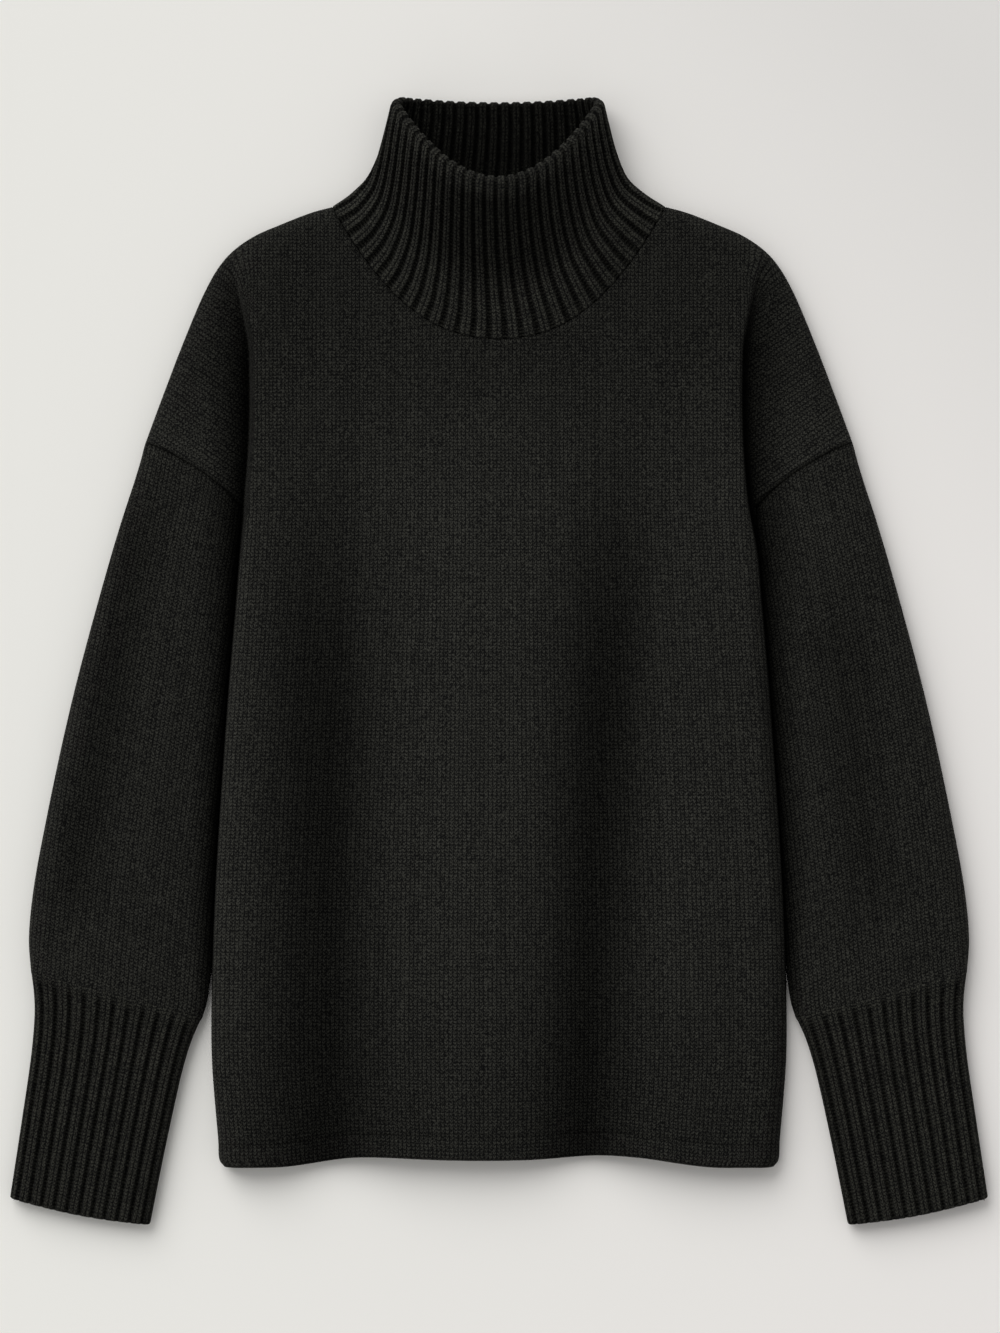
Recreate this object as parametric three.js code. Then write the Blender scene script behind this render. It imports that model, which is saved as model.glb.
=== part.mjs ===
import * as THREE from 'three';

// A chunky wool turtleneck sweater laid flat on its back on a table, sizes in millimetres.
// +Y runs from the hem to the collar, +Z is up, the back panel rests on Z = 0.

// Cloth
const WALL = 3.0;
const COLLAR_WALL = 7.5;
const COLLAR_SEAM_WALL = 3.6;
const CUFF_WALL = 4.2;
const SEAM_GAP = 0.3;
// A place this close to an edge line counts as on it
const ON_EDGE = 0.08;

// Height at which the front and the back cloth meet along every edge of the flat garment
const EDGE_Z = 6.5;
const FRONT_EDGE_Z = EDGE_Z + SEAM_GAP / 2;
const BACK_EDGE_Z = EDGE_Z - SEAM_GAP / 2;
const EDGE_ROLL = 16;
const SIDE_ROLL = 11;
const SLEEVE_INNER_ROLL = 21;
const CUFF_ROLL = 10;
const UNDER_ROLL = 9;
// The walls turn from upright to level over this much of the side seam below the underarm
const UNDERARM_TURN = 14;
const UNDERARM_STACK = WALL + 0.15;

// Full height of the upper cloth, from the shoulders down to the cuff ends
const CLOTH_HEIGHT = [
  { y: -430, torso: 19.5, sleeve: 13.6 },
  { y: -285, torso: 21.0, sleeve: 14.6 },
  { y: -235, torso: 21.0, sleeve: 16.6 },
  { y: -150, torso: 21.5, sleeve: 19.5 },
  { y: 60, torso: 20.5, sleeve: 18.5 },
  { y: 150, torso: 19.0, sleeve: 17.5 },
  { y: 350, torso: 17.5, sleeve: 17.0 },
];
const SLEEVE_FROM_X = 205;

// Folds of the upper cloth: a line, how far across it reaches, its height or depth, its soft ends
const FOLDS = [
  { name: 'left_trough', x0: -131, y0: 150, x1: -138, y1: -400, reach: 32, rise: -7.5, ease: 190 },
  { name: 'right_trough', x0: 99, y0: 165, x1: 62, y1: -400, reach: 27, rise: -8.0, ease: 170 },
  { name: 'centre_ridge', x0: -18, y0: 150, x1: -24, y1: -400, reach: 44, rise: 3.0, ease: 150 },
  { name: 'left_side_ridge', x0: -178, y0: 60, x1: -186, y1: -400, reach: 22, rise: 2.4, ease: 120 },
  { name: 'right_side_ridge', x0: 151, y0: 60, x1: 146, y1: -400, reach: 34, rise: 2.4, ease: 150 },
  { name: 'left_sleeve_trough', x0: -268, y0: 120, x1: -322, y1: -190, reach: 17, rise: -3.6, ease: 90 },
  { name: 'right_sleeve_trough', x0: 258, y0: 40, x1: 286, y1: -190, reach: 20, rise: -2.4, ease: 90 },
  { name: 'left_underarm', x0: -197, y0: 96, x1: -199, y1: 300, reach: 15, rise: -5.6, ease: 150 },
  { name: 'right_underarm', x0: 197, y0: 96, x1: 199, y1: 300, reach: 15, rise: -5.6, ease: 150 },
  { name: 'neck_swell', x0: -60, y0: 246, x1: 60, y1: 246, reach: 34, rise: 3.6, ease: 60 },
];

// Outline of one half, w is the distance from the centre line
const SIDE_SEAM = [
  { w: 207.5, y: -384.4 },
  { w: 212.4, y: -378.0 },
  { w: 214.6, y: -360.0 },
  { w: 218.6, y: -303.0 },
  { w: 218.0, y: -257.0 },
  { w: 215.8, y: -181.0 },
  { w: 206.0, y: -30.0 },
  { w: 199.8, y: 46.0 },
  { w: 195.3, y: 117.0 },
];
const ARMHOLE = [
  { w: 195.3, y: 117.0 },
  { w: 207.0, y: 128.8 },
  { w: 222.7, y: 141.7 },
  { w: 239.4, y: 152.2 },
  { w: 253.8, y: 159.9 },
  { w: 268.6, y: 166.2 },
];
const SHOULDER = [
  { w: 127.0, y: 345.0 },
  { w: 142.0, y: 341.0 },
  { w: 167.2, y: 331.2 },
  { w: 186.5, y: 322.6 },
  { w: 202.2, y: 311.6 },
  { w: 212.8, y: 299.6 },
  { w: 223.4, y: 281.0 },
  { w: 239.4, y: 243.5 },
  { w: 254.0, y: 205.5 },
  { w: 268.6, y: 166.2 },
];
const SLEEVE_OUTER = [
  { w: 271.0, y: 167.0 },
  { w: 272.8, y: 158.0 },
  { w: 282.7, y: 122.4 },
  { w: 300.2, y: 61.6 },
  { w: 324.5, y: -29.6 },
  { w: 344.3, y: -120.8 },
  { w: 354.4, y: -177.0 },
  { w: 357.4, y: -212.0 },
  { w: 355.8, y: -236.0 },
];
const SLEEVE_INNER = [
  { w: 195.3, y: 117.0 },
  { w: 201.4, y: 46.0 },
  { w: 207.8, y: -30.0 },
  { w: 217.6, y: -181.0 },
  { w: 220.6, y: -256.0 },
  { w: 232.0, y: -284.0 },
];
const CUFF_OUTER = [
  { w: 355.8, y: -236.0 },
  { w: 353.6, y: -262.0 },
  { w: 355.6, y: -294.0 },
  { w: 363.3, y: -348.8 },
  { w: 371.4, y: -402.0 },
];
const CUFF_INNER = [
  { w: 232.0, y: -284.0 },
  { w: 238.6, y: -308.0 },
  { w: 251.6, y: -364.0 },
  { w: 264.4, y: -426.4 },
];
const CUFF_END_BOW = 3.0;

// Hem line: it dips towards both side seams and lifts a little under the two troughs
const HEM_Y = -379.0;
const HEM_DIP = 5.4;
const HEM_DIP_FROM = 105;
const HEM_DIP_TO = 172;
const HEM_LIFTS = [
  { x: -94, reach: 40, rise: 2.2 },
  { x: 80, reach: 38, rise: 3.4 },
];

// Neck seam
const NECK_HALF_WIDTH = 127;
const NECK_SIDE_Y = 345;
const NECK_FRONT_Y = 244;
const NECK_BACK_Y = 318;
const NECK_FRONT_SHARPNESS = 2.3;
const NECK_BACK_SHARPNESS = 2;

// Collar, a row for each ring from the neck seam to the rim
const COLLAR = [
  { h: 0.0, w: 125.4, sideY: 346.6, frontY: 244.8, backY: 318.5, sideZ: 6.5, frontZ: 22.6, arch: 7, lift: 0 },
  { h: 0.15, w: 111.5, sideY: 355.6, frontY: 262, backY: 333, sideZ: 9, frontZ: 25, arch: 16, lift: 0 },
  { h: 0.35, w: 98.6, sideY: 368.4, frontY: 286, backY: 352, sideZ: 12.5, frontZ: 29, arch: 34, lift: 0 },
  { h: 0.6, w: 90.4, sideY: 387, frontY: 315, backY: 376, sideZ: 16.5, frontZ: 36.5, arch: 54, lift: 1.5 },
  { h: 0.85, w: 85.2, sideY: 406, frontY: 344, backY: 402, sideZ: 19.5, frontZ: 47.5, arch: 70, lift: 5 },
  { h: 1.0, w: 82.0, sideY: 417.1, frontY: 359, backY: 413.6, sideZ: 21, frontZ: 54.5, arch: 78, lift: 7.5 },
];
const COLLAR_LIFT_REACH = 14;
const COLLAR_UNDER_ROLL = 14;
const COLLAR_RIM_ROLL = 24;

// Ribs: a valley and a flat crest each, cut into the outer points only
const COLLAR_RIBS = 50;
const CUFF_RIBS = 24;
const RIB_DEPTH = 1.8;
const CREST_FROM = 0.26;
const CREST_TO = 0.74;
const RIB_FADE_IN = 26;

// Rows and columns of the cloth grids, 0 to 1
const SPLIT = 0.77;
const FRONT_COLUMNS = [0, 0.1, 0.2, 0.31, 0.42, 0.53, 0.64, 0.74, 0.83, 0.9, 0.945, 0.972, 0.989, 0.997, 1];
const FRONT_ROWS = [
  0, 0.006, 0.05, 0.1, 0.15, 0.2, 0.25, 0.3, 0.36, 0.42, 0.48, 0.54, 0.6, 0.655, 0.705, 0.735, 0.7485,
  0.7556, 0.7628, SPLIT, 0.776, 0.786, 0.802, 0.825, 0.852, 0.88, 0.905, 0.93, 0.952, 0.969, 0.981, 0.99,
  0.9964, 1,
];
const BACK_COLUMNS = [0, 0.25, 0.5, 0.75, 0.9, 0.955, 0.978, 0.992, 1];
const BACK_ROWS = [
  0, 0.1, 0.2, 0.3, 0.4, 0.5, 0.6, 0.7, 0.735, 0.7485, 0.7556, 0.7628, SPLIT, 0.78, 0.8, 0.84, 0.88,
  0.92, 0.955, 0.978, 0.99, 0.9964, 1,
];
const SLEEVE_TOP = [
  0, 0.01, 0.038, 0.082, 0.14, 0.24, 0.36, 0.48, 0.6, 0.7, 0.79, 0.87, 0.925, 0.965, 0.991, 1,
];
const SLEEVE_UNDER = [0.985, 0.955, 0.9, 0.65, 0.35, 0.1, 0.045, 0.015];
const SLEEVE_RINGS = [0, 0.012, 0.035, 0.08, 0.15, 0.23, 0.32, 0.42, 0.52, 0.62, 0.72, 0.81, 0.88, 0.94, 1];
const CUFF_RINGS = [0, 0.08, 0.18, 0.34, 0.52, 0.7, 0.86, 1];
const CUFF_INNER_RINGS = [1, 0.6, 0.34, 0.16, 0];
const COLLAR_RINGS = [0, 0.06, 0.15, 0.27, 0.4, 0.55, 0.7, 0.85, 1];
const COLLAR_INNER_RINGS = [1, 0.7, 0.47, 0.3, 0.17, 0.08, 0];
const RIM_ANGLES = [55, 110];

const YARN = { color: 0x1e1e1c, roughness: 0.95, metalness: 0 };
const YARN_RIB = { color: 0x1a1b18, roughness: 0.96, metalness: 0 };

function smooth(value, from, to) {
  const k = Math.min(Math.max((value - from) / (to - from), 0), 1);
  return k * k * (3 - 2 * k);
}

function quarter(distance, reach) {
  const k = 1 - Math.min(Math.max(distance / reach, 0), 1);
  return Math.sqrt(1 - k * k);
}

// Slope of the quarter ellipse, held finite at its upright end
function quarterSlope(distance, reach) {
  if (distance >= reach) {
    return 0;
  }
  const k = 1 - Math.max(distance / reach, 1e-5);
  return k / (reach * Math.sqrt(1 - k * k));
}

// A value read from a table of rows, by a smooth curve through them
function fromRows(rows, key, column, at) {
  const last = rows.length - 1;
  if (at <= rows[0][key]) {
    return rows[0][column];
  }
  if (at >= rows[last][key]) {
    return rows[last][column];
  }
  let i = 0;
  while (rows[i + 1][key] < at) {
    i += 1;
  }
  const slope = (a, b) => (rows[b][column] - rows[a][column]) / (rows[b][key] - rows[a][key]);
  const here = slope(i, i + 1);
  const before = i > 0 ? slope(i - 1, i) : here;
  const after = i + 1 < last ? slope(i + 1, i + 2) : here;
  const limited = (a, b) => (a * b <= 0 ? 0 : (2 * a * b) / (a + b));
  const m0 = i > 0 ? limited(before, here) : here;
  const m1 = i + 1 < last ? limited(here, after) : here;
  const width = rows[i + 1][key] - rows[i][key];
  const k = (at - rows[i][key]) / width;
  const a = rows[i][column];
  const b = rows[i + 1][column];
  return (
    a * (1 + 2 * k) * (1 - k) ** 2 +
    b * k * k * (3 - 2 * k) +
    width * (m0 * k * (1 - k) ** 2 - m1 * k * k * (1 - k))
  );
}

function pathThrough(rows) {
  const points = rows.map((row) => new THREE.Vector3(row.w, row.y, 0));
  const curve = new THREE.CatmullRomCurve3(points, false, 'centripetal');
  curve.arcLengthDivisions = 600;
  return curve;
}

const sideSeam = pathThrough(SIDE_SEAM);
const armhole = pathThrough(ARMHOLE);
const shoulder = pathThrough(SHOULDER);
const sleeveOuter = pathThrough(SLEEVE_OUTER);
const sleeveInner = pathThrough(SLEEVE_INNER);
const cuffOuter = pathThrough(CUFF_OUTER);
const cuffInner = pathThrough(CUFF_INNER);

// An edge of the flat garment: its points, on which side the cloth lies, and how the cloth rolls there
function edge(curve, clothSide, roll, frontZ, backZ) {
  return { points: curve.getSpacedPoints(160), clothSide, roll, frontZ, backZ };
}

const turn = (y) => smooth(y, SIDE_SEAM[8].y - UNDERARM_TURN, SIDE_SEAM[8].y);
const torsoEdges = [
  edge(
    sideSeam,
    1,
    (y) => SIDE_ROLL + (EDGE_ROLL - SIDE_ROLL) * smooth(y, 40, 110),
    (y) => FRONT_EDGE_Z + UNDERARM_STACK * turn(y),
    (y) => BACK_EDGE_Z - UNDERARM_STACK * turn(y),
  ),
  edge(shoulder, -1, () => EDGE_ROLL, () => FRONT_EDGE_Z, () => BACK_EDGE_Z),
];
const sleeveEdges = [
  edge(
    sleeveInner,
    1,
    (y) => SLEEVE_INNER_ROLL + (EDGE_ROLL - SLEEVE_INNER_ROLL) * Math.max(smooth(y, 40, 110), smooth(-y, 200, 280)),
    () => EDGE_Z,
    () => EDGE_Z,
  ),
  edge(sleeveOuter, -1, (y) => EDGE_ROLL - 5 * smooth(-y, 180, 236), () => EDGE_Z, () => EDGE_Z),
];
const cuffEdges = [
  edge(cuffInner, 1, () => CUFF_ROLL, () => EDGE_Z, () => EDGE_Z),
  edge(cuffOuter, -1, () => CUFF_ROLL, () => EDGE_Z, () => EDGE_Z),
];

// Nearest place on a set of edges: distance, direction into the cloth, and the edge's own values there
function nearestEdge(edges, w, y) {
  let best = null;
  for (const item of edges) {
    for (let i = 0; i + 1 < item.points.length; i += 1) {
      const a = item.points[i];
      const b = item.points[i + 1];
      const dx = b.x - a.x;
      const dy = b.y - a.y;
      const along = ((w - a.x) * dx + (y - a.y) * dy) / (dx * dx + dy * dy);
      const k = Math.min(Math.max(along, 0), 1);
      const px = a.x + k * dx;
      const py = a.y + k * dy;
      const distance = Math.hypot(w - px, y - py);
      if (!best || distance < best.distance - 1e-9) {
        const length = Math.hypot(dx, dy);
        const inward = [(-dy / length) * item.clothSide, (dx / length) * item.clothSide];
        const onEdge = distance < ON_EDGE;
        best = {
          distance: onEdge ? 0 : distance,
          inX: onEdge ? inward[0] : (w - px) / distance,
          inY: onEdge ? inward[1] : (y - py) / distance,
          roll: item.roll(py),
          frontZ: item.frontZ(py),
          backZ: item.backZ(py),
        };
      }
    }
  }
  return best;
}

function foldRise(x, y) {
  let rise = 0;
  for (const fold of FOLDS) {
    const dx = fold.x1 - fold.x0;
    const dy = fold.y1 - fold.y0;
    const length = Math.hypot(dx, dy);
    const along = ((x - fold.x0) * dx + (y - fold.y0) * dy) / length;
    const across = Math.abs((x - fold.x0) * dy - (y - fold.y0) * dx) / length;
    const ends = smooth(along, -fold.ease / 2, fold.ease / 2) * smooth(length - along, -fold.ease / 2, fold.ease / 2);
    rise += fold.rise * ends * Math.exp(-((across / fold.reach) ** 2));
  }
  return rise;
}

function clothHeight(x, y) {
  const onSleeve = smooth(Math.abs(x), SLEEVE_FROM_X - 8, SLEEVE_FROM_X + 22);
  const torso = fromRows(CLOTH_HEIGHT, 'y', 'torso', y);
  const sleeve = fromRows(CLOTH_HEIGHT, 'y', 'sleeve', y);
  return torso + (sleeve - torso) * onSleeve + foldRise(x, y);
}

// A place on the upper cloth (face 1) or the under cloth (face -1), with its outward direction
function clothPlace(edges, x, y, face) {
  const side = x < 0 ? -1 : 1;
  const near = nearestEdge(edges, Math.abs(x), y);
  const q = quarter(near.distance, near.roll);
  const slope = quarterSlope(near.distance, near.roll);
  const inX = near.inX * side;
  let z;
  let out;
  if (face > 0) {
    const top = clothHeight(x, y);
    const step = 0.5;
    const gx = (clothHeight(x + step, y) - clothHeight(x - step, y)) / (2 * step);
    const gy = (clothHeight(x, y + step) - clothHeight(x, y - step)) / (2 * step);
    z = near.frontZ + (top - near.frontZ) * q;
    const steep = (top - near.frontZ) * slope;
    out = new THREE.Vector3(-steep * inX - q * gx, -steep * near.inY - q * gy, 1);
  } else {
    const under = quarter(near.distance, UNDER_ROLL);
    const steep = near.backZ * quarterSlope(near.distance, UNDER_ROLL);
    z = near.backZ * (1 - under);
    out = new THREE.Vector3(-steep * inX, -steep * near.inY, -1);
  }
  if (near.distance === 0) {
    const level = turnShare(near, face);
    const upright = Math.sqrt(1 - level * level);
    out = new THREE.Vector3(-inX * upright, -near.inY * upright, face * level);
  }
  return { point: new THREE.Vector3(x, y, z), out: out.normalize() };
}

// How far an edge's wall has turned from upright to level, 0 everywhere but at the underarm
function turnShare(near, face) {
  const moved = face > 0 ? near.frontZ - FRONT_EDGE_Z : BACK_EDGE_Z - near.backZ;
  return Math.min(Math.max(moved / UNDERARM_STACK, 0), 1);
}

// Keeps a wall's end face upright over its seam line
function alongSeam(out, tangent) {
  const flat = out.x * tangent.x + out.y * tangent.y;
  return new THREE.Vector3(tangent.x * flat, tangent.y * flat, out.z).normalize();
}

function hemLine(x) {
  let y = HEM_Y - HEM_DIP * smooth(Math.abs(x), HEM_DIP_FROM, HEM_DIP_TO);
  for (const lift of HEM_LIFTS) {
    y += lift.rise * Math.exp(-(((x - lift.x) / lift.reach) ** 2));
  }
  return y;
}

function neckLine(frontY, sharpness) {
  const rows = [];
  for (let k = 0; k <= 24; k += 1) {
    const w = (NECK_HALF_WIDTH * k) / 24;
    rows.push({ w, y: frontY + (NECK_SIDE_Y - frontY) * (k / 24) ** sharpness });
  }
  return pathThrough(rows);
}

// A four-sided patch of cloth between four boundary functions, blended straight across
function patch(low, high, near, far) {
  const p00 = low(0);
  const p10 = low(1);
  const p01 = high(0);
  const p11 = high(1);
  return (s, t) => {
    const a = near(t);
    const b = far(t);
    const c = low(s);
    const d = high(s);
    const mix = (k) =>
      (1 - s) * a[k] + s * b[k] + (1 - t) * c[k] + t * d[k] -
      ((1 - s) * (1 - t) * p00[k] + s * (1 - t) * p10[k] + (1 - s) * t * p01[k] + s * t * p11[k]);
    return [mix(0), mix(1)];
  };
}

const asPair = (point) => [point.x, point.y];

// Half a body panel: the hem, the centre line and neck, the side seam and armhole, the shoulder
function halfPanel(side, neck, neckY) {
  const hem = (s) => [s * SIDE_SEAM[0].w, hemLine(side * s * SIDE_SEAM[0].w)];
  const middle = (t) => {
    if (t <= SPLIT) {
      return [0, hemLine(0) + ((neckY - hemLine(0)) * t) / SPLIT];
    }
    return asPair(neck.getPointAt(Math.min((t - SPLIT) / (1 - SPLIT), 1)));
  };
  const seamShift = hemLine(side * SIDE_SEAM[0].w) - SIDE_SEAM[0].y;
  const outside = (t) => {
    if (t <= SPLIT) {
      const point = sideSeam.getPointAt(t / SPLIT);
      return [point.x, point.y + seamShift * (1 - t / SPLIT)];
    }
    return asPair(armhole.getPointAt((t - SPLIT) / (1 - SPLIT)));
  };
  const top = (s) => asPair(shoulder.getPointAt(s));
  return patch(hem, top, middle, outside);
}

class ClothMesh {
  constructor() {
    this.places = [];
    this.faces = [];
    this.known = new Map();
  }

  corner(point) {
    const key = [point.x, point.y, point.z].map((value) => Math.round(value * 2000)).join(' ');
    if (!this.known.has(key)) {
      this.known.set(key, this.places.length / 3);
      this.places.push(point.x, point.y, point.z);
    }
    return this.known.get(key);
  }

  triangle(a, b, c) {
    if (a !== b && b !== c && c !== a) {
      this.faces.push(a, b, c);
    }
  }

  quad(a, b, c, d, flip) {
    const [p, q, r, s] = [a, b, c, d].map((point) => this.corner(point));
    if (flip) {
      this.triangle(p, r, q);
      this.triangle(p, s, r);
    } else {
      this.triangle(p, q, r);
      this.triangle(p, r, s);
    }
  }

  finish(name, finishOf) {
    const geometry = new THREE.BufferGeometry();
    geometry.setAttribute('position', new THREE.Float32BufferAttribute(this.places, 3));
    geometry.setIndex(this.faces);
    geometry.computeVertexNormals();
    const mesh = new THREE.Mesh(geometry, new THREE.MeshStandardMaterial(finishOf));
    mesh.name = name;
    return mesh;
  }
}

function bodyPanel(name, face, columns, rows, neckY, sharpness) {
  const mesh = new ClothMesh();
  const neck = neckLine(neckY, sharpness);
  const split = rows.indexOf(SPLIT);
  for (const side of [1, -1]) {
    const map = halfPanel(side, neck, neckY);
    const outer = [];
    const inner = [];
    for (let i = 0; i < columns.length; i += 1) {
      outer.push([]);
      inner.push([]);
      for (let j = 0; j < rows.length; j += 1) {
        const [w, y] = map(columns[i], rows[j]);
        const { point, out } = clothPlace(torsoEdges, w * side, y, face);
        let wall = out;
        const onNeck = i === 0 && j > split;
        const onArmhole = i === columns.length - 1 && j >= split;
        if (onNeck || onArmhole) {
          const curve = onNeck ? neck : armhole;
          const tangent = curve.getTangentAt((rows[j] - SPLIT) / (1 - SPLIT));
          tangent.x *= side;
          wall = alongSeam(out, tangent);
        } else if (i === 0) {
          wall = new THREE.Vector3(0, out.y, out.z).normalize();
          if (j === split) {
            wall = new THREE.Vector3(0, 0, face);
          }
        }
        if (j === 0) {
          wall = new THREE.Vector3(wall.x, 0, wall.z).normalize();
        }
        outer[i].push(point);
        inner[i].push(point.clone().addScaledVector(wall, -WALL));
      }
    }
    const flip = side * face < 0;
    for (let i = 0; i + 1 < columns.length; i += 1) {
      for (let j = 0; j + 1 < rows.length; j += 1) {
        mesh.quad(outer[i][j], outer[i + 1][j], outer[i + 1][j + 1], outer[i][j + 1], flip);
        mesh.quad(inner[i][j], inner[i + 1][j], inner[i + 1][j + 1], inner[i][j + 1], !flip);
      }
      const top = rows.length - 1;
      mesh.quad(inner[i][0], inner[i + 1][0], outer[i + 1][0], outer[i][0], flip);
      mesh.quad(inner[i][top], inner[i + 1][top], outer[i + 1][top], outer[i][top], !flip);
    }
    for (let j = 0; j + 1 < rows.length; j += 1) {
      const last = columns.length - 1;
      mesh.quad(inner[last][j], inner[last][j + 1], outer[last][j + 1], outer[last][j], flip);
      if (j >= split) {
        mesh.quad(inner[0][j], inner[0][j + 1], outer[0][j + 1], outer[0][j], !flip);
      }
    }
  }
  return mesh.finish(name, YARN);
}

// A closed tube of cloth from rings of outer points and rings of inner points
function tube(name, outerRings, innerRings, flip, finishOf) {
  const mesh = new ClothMesh();
  const rings = [...outerRings, ...innerRings, outerRings[0]];
  const count = outerRings[0].length;
  for (let i = 0; i + 1 < rings.length; i += 1) {
    for (let j = 0; j < count; j += 1) {
      const k = (j + 1) % count;
      mesh.quad(rings[i][j], rings[i][k], rings[i + 1][k], rings[i + 1][j], flip);
    }
  }
  return mesh.finish(name, finishOf);
}

function sleeve(name, side) {
  const reach = new THREE.Vector2(SLEEVE_OUTER[0].w - SHOULDER[9].w, SLEEVE_OUTER[0].y - SHOULDER[9].y);
  const gapX = SEAM_GAP * 1.13;
  const gapY = -SEAM_GAP * 0.57;
  const cap = (s) => {
    const point = armhole.getPointAt(s);
    const notch = smooth(s, 0.7, 1);
    return [point.x + gapX + reach.x * notch, point.y + gapY + reach.y * notch];
  };
  const shift = (curve, t) => {
    const point = curve.getPointAt(t);
    return [point.x + gapX * (1 - t), point.y + gapY * (1 - t)];
  };
  const inside = (t) => shift(sleeveInner, t);
  const outside = (t) => shift(sleeveOuter, t);
  const wrist = (s) => {
    const a = inside(1);
    const b = outside(1);
    return [a[0] + (b[0] - a[0]) * s, a[1] + (b[1] - a[1]) * s];
  };
  const map = patch(cap, wrist, inside, outside);
  const outerRings = [];
  const innerRings = [];
  for (const t of SLEEVE_RINGS) {
    const outer = [];
    const inner = [];
    const add = (s, face) => {
      const [w, y] = map(s, t);
      const { point, out } = clothPlace(sleeveEdges, w * side, y, face);
      if (s === 0 || s === 1) {
        point.z = EDGE_Z;
        const ahead = map(s === 0 ? 0.02 : 0.98, t);
        out.set((w - ahead[0]) * side, y - ahead[1], 0).normalize();
      }
      let wall = out;
      if (t === 0 || t === 1) {
        const before = map(Math.max(s - 0.01, 0), t);
        const after = map(Math.min(s + 0.01, 1), t);
        const tangent = new THREE.Vector2((after[0] - before[0]) * side, after[1] - before[1]).normalize();
        wall = alongSeam(out, tangent);
      }
      outer.push(point);
      inner.push(point.clone().addScaledVector(wall, -WALL));
    };
    SLEEVE_TOP.forEach((s) => add(s, 1));
    SLEEVE_UNDER.forEach((s) => add(s, -1));
    outerRings.push(outer);
    innerRings.unshift(inner);
  }
  return tube(name, outerRings, innerRings, side > 0, YARN);
}

// Places spaced evenly around a closed section, at the given shares of its length
function evenly(section, shares) {
  const count = 400;
  const lengths = [0];
  let before = section(0).point;
  for (let i = 1; i <= count; i += 1) {
    const here = section(i / count).point;
    lengths.push(lengths[i - 1] + here.distanceTo(before));
    before = here;
  }
  const total = lengths[count];
  return shares.map((share) => {
    const wanted = share * total;
    let i = 0;
    while (i < count - 1 && lengths[i + 1] < wanted) {
      i += 1;
    }
    const k = (wanted - lengths[i]) / (lengths[i + 1] - lengths[i]);
    return section((i + k) / count);
  });
}

// Shares of the way around for a number of ribs, and whether each place is a valley
function ribShares(ribs) {
  const shares = [];
  for (let rib = 0; rib < ribs; rib += 1) {
    shares.push({ at: rib / ribs, valley: true });
    shares.push({ at: (rib + CREST_FROM) / ribs, valley: false });
    shares.push({ at: (rib + CREST_TO) / ribs, valley: false });
  }
  return shares;
}

function cuff(name, side) {
  const along = new THREE.Vector2(CUFF_INNER[3].w - CUFF_INNER[0].w, CUFF_INNER[3].y - CUFF_INNER[0].y);
  const length = along.length();
  const start = SEAM_GAP * 1.15;
  const at = (s, t) => {
    const a = cuffInner.getPointAt(t);
    const b = cuffOuter.getPointAt(t);
    const bow = CUFF_END_BOW * t * Math.sin(Math.PI * s);
    const gap = (start / length) * (1 - t);
    return [
      a.x + (b.x - a.x) * s + along.x * gap,
      a.y + (b.y - a.y) * s + along.y * gap - bow,
    ];
  };
  const shares = ribShares(CUFF_RIBS);
  const ring = (t, ofWall) => {
    const section = (around) => {
      const face = around <= 0.5 ? 1 : -1;
      const s = face > 0 ? around * 2 : 2 - around * 2;
      const [w, y] = at(s, t);
      const place = clothPlace(cuffEdges, w * side, y, face);
      if (s < 1e-6 || s > 1 - 1e-6) {
        const ahead = at(s < 0.5 ? 0.02 : 0.98, t);
        place.point.z = EDGE_Z;
        place.out.set((w - ahead[0]) * side, y - ahead[1], 0).normalize();
      }
      const before = at(Math.max(s - 0.01, 0), t);
      const after = at(Math.min(s + 0.01, 1), t);
      const tangent = new THREE.Vector2((after[0] - before[0]) * side, after[1] - before[1]).normalize();
      place.out = alongSeam(place.out, tangent);
      return place;
    };
    const grown = smooth(t * length, 0, RIB_FADE_IN);
    return evenly(section, shares.map((share) => share.at)).map((place, i) => {
      const valley = shares[i].valley ? RIB_DEPTH * grown : 0;
      return place.point.clone().addScaledVector(place.out, ofWall ? -CUFF_WALL : -valley);
    });
  };
  const outerRings = CUFF_RINGS.map((t) => ring(t, false));
  const innerRings = CUFF_INNER_RINGS.map((t) => ring(t, true));
  return tube(name, outerRings, innerRings, side > 0, YARN_RIB);
}

// A place on the collar's outer surface, around from 0 to 1 beginning at the right-hand fold
function collarPoint(h, around) {
  const angle = around * 2 * Math.PI;
  const row = (column) => fromRows(COLLAR, 'h', column, h);
  const w = row('w');
  const share = Math.abs(Math.cos(angle));
  const fromFold = w * (1 - share);
  const x = w * Math.cos(angle);
  if (Math.sin(angle) >= 0) {
    const sharpness = NECK_FRONT_SHARPNESS + (2 - NECK_FRONT_SHARPNESS) * h;
    const y = row('sideY') - (row('sideY') - row('frontY')) * (1 - share ** sharpness);
    const z = row('sideZ') + (row('frontZ') - row('sideZ')) * quarter(fromFold, row('arch'));
    return new THREE.Vector3(x, y, z);
  }
  const dip = (row('sideY') - row('backY')) * (1 - share ** NECK_BACK_SHARPNESS);
  const y = row('sideY') - dip + row('lift') * quarter(fromFold, COLLAR_LIFT_REACH);
  const roll = COLLAR_UNDER_ROLL + (COLLAR_RIM_ROLL - COLLAR_UNDER_ROLL) * h;
  return new THREE.Vector3(x, y, row('sideZ') * (1 - quarter(fromFold, roll)));
}

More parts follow.
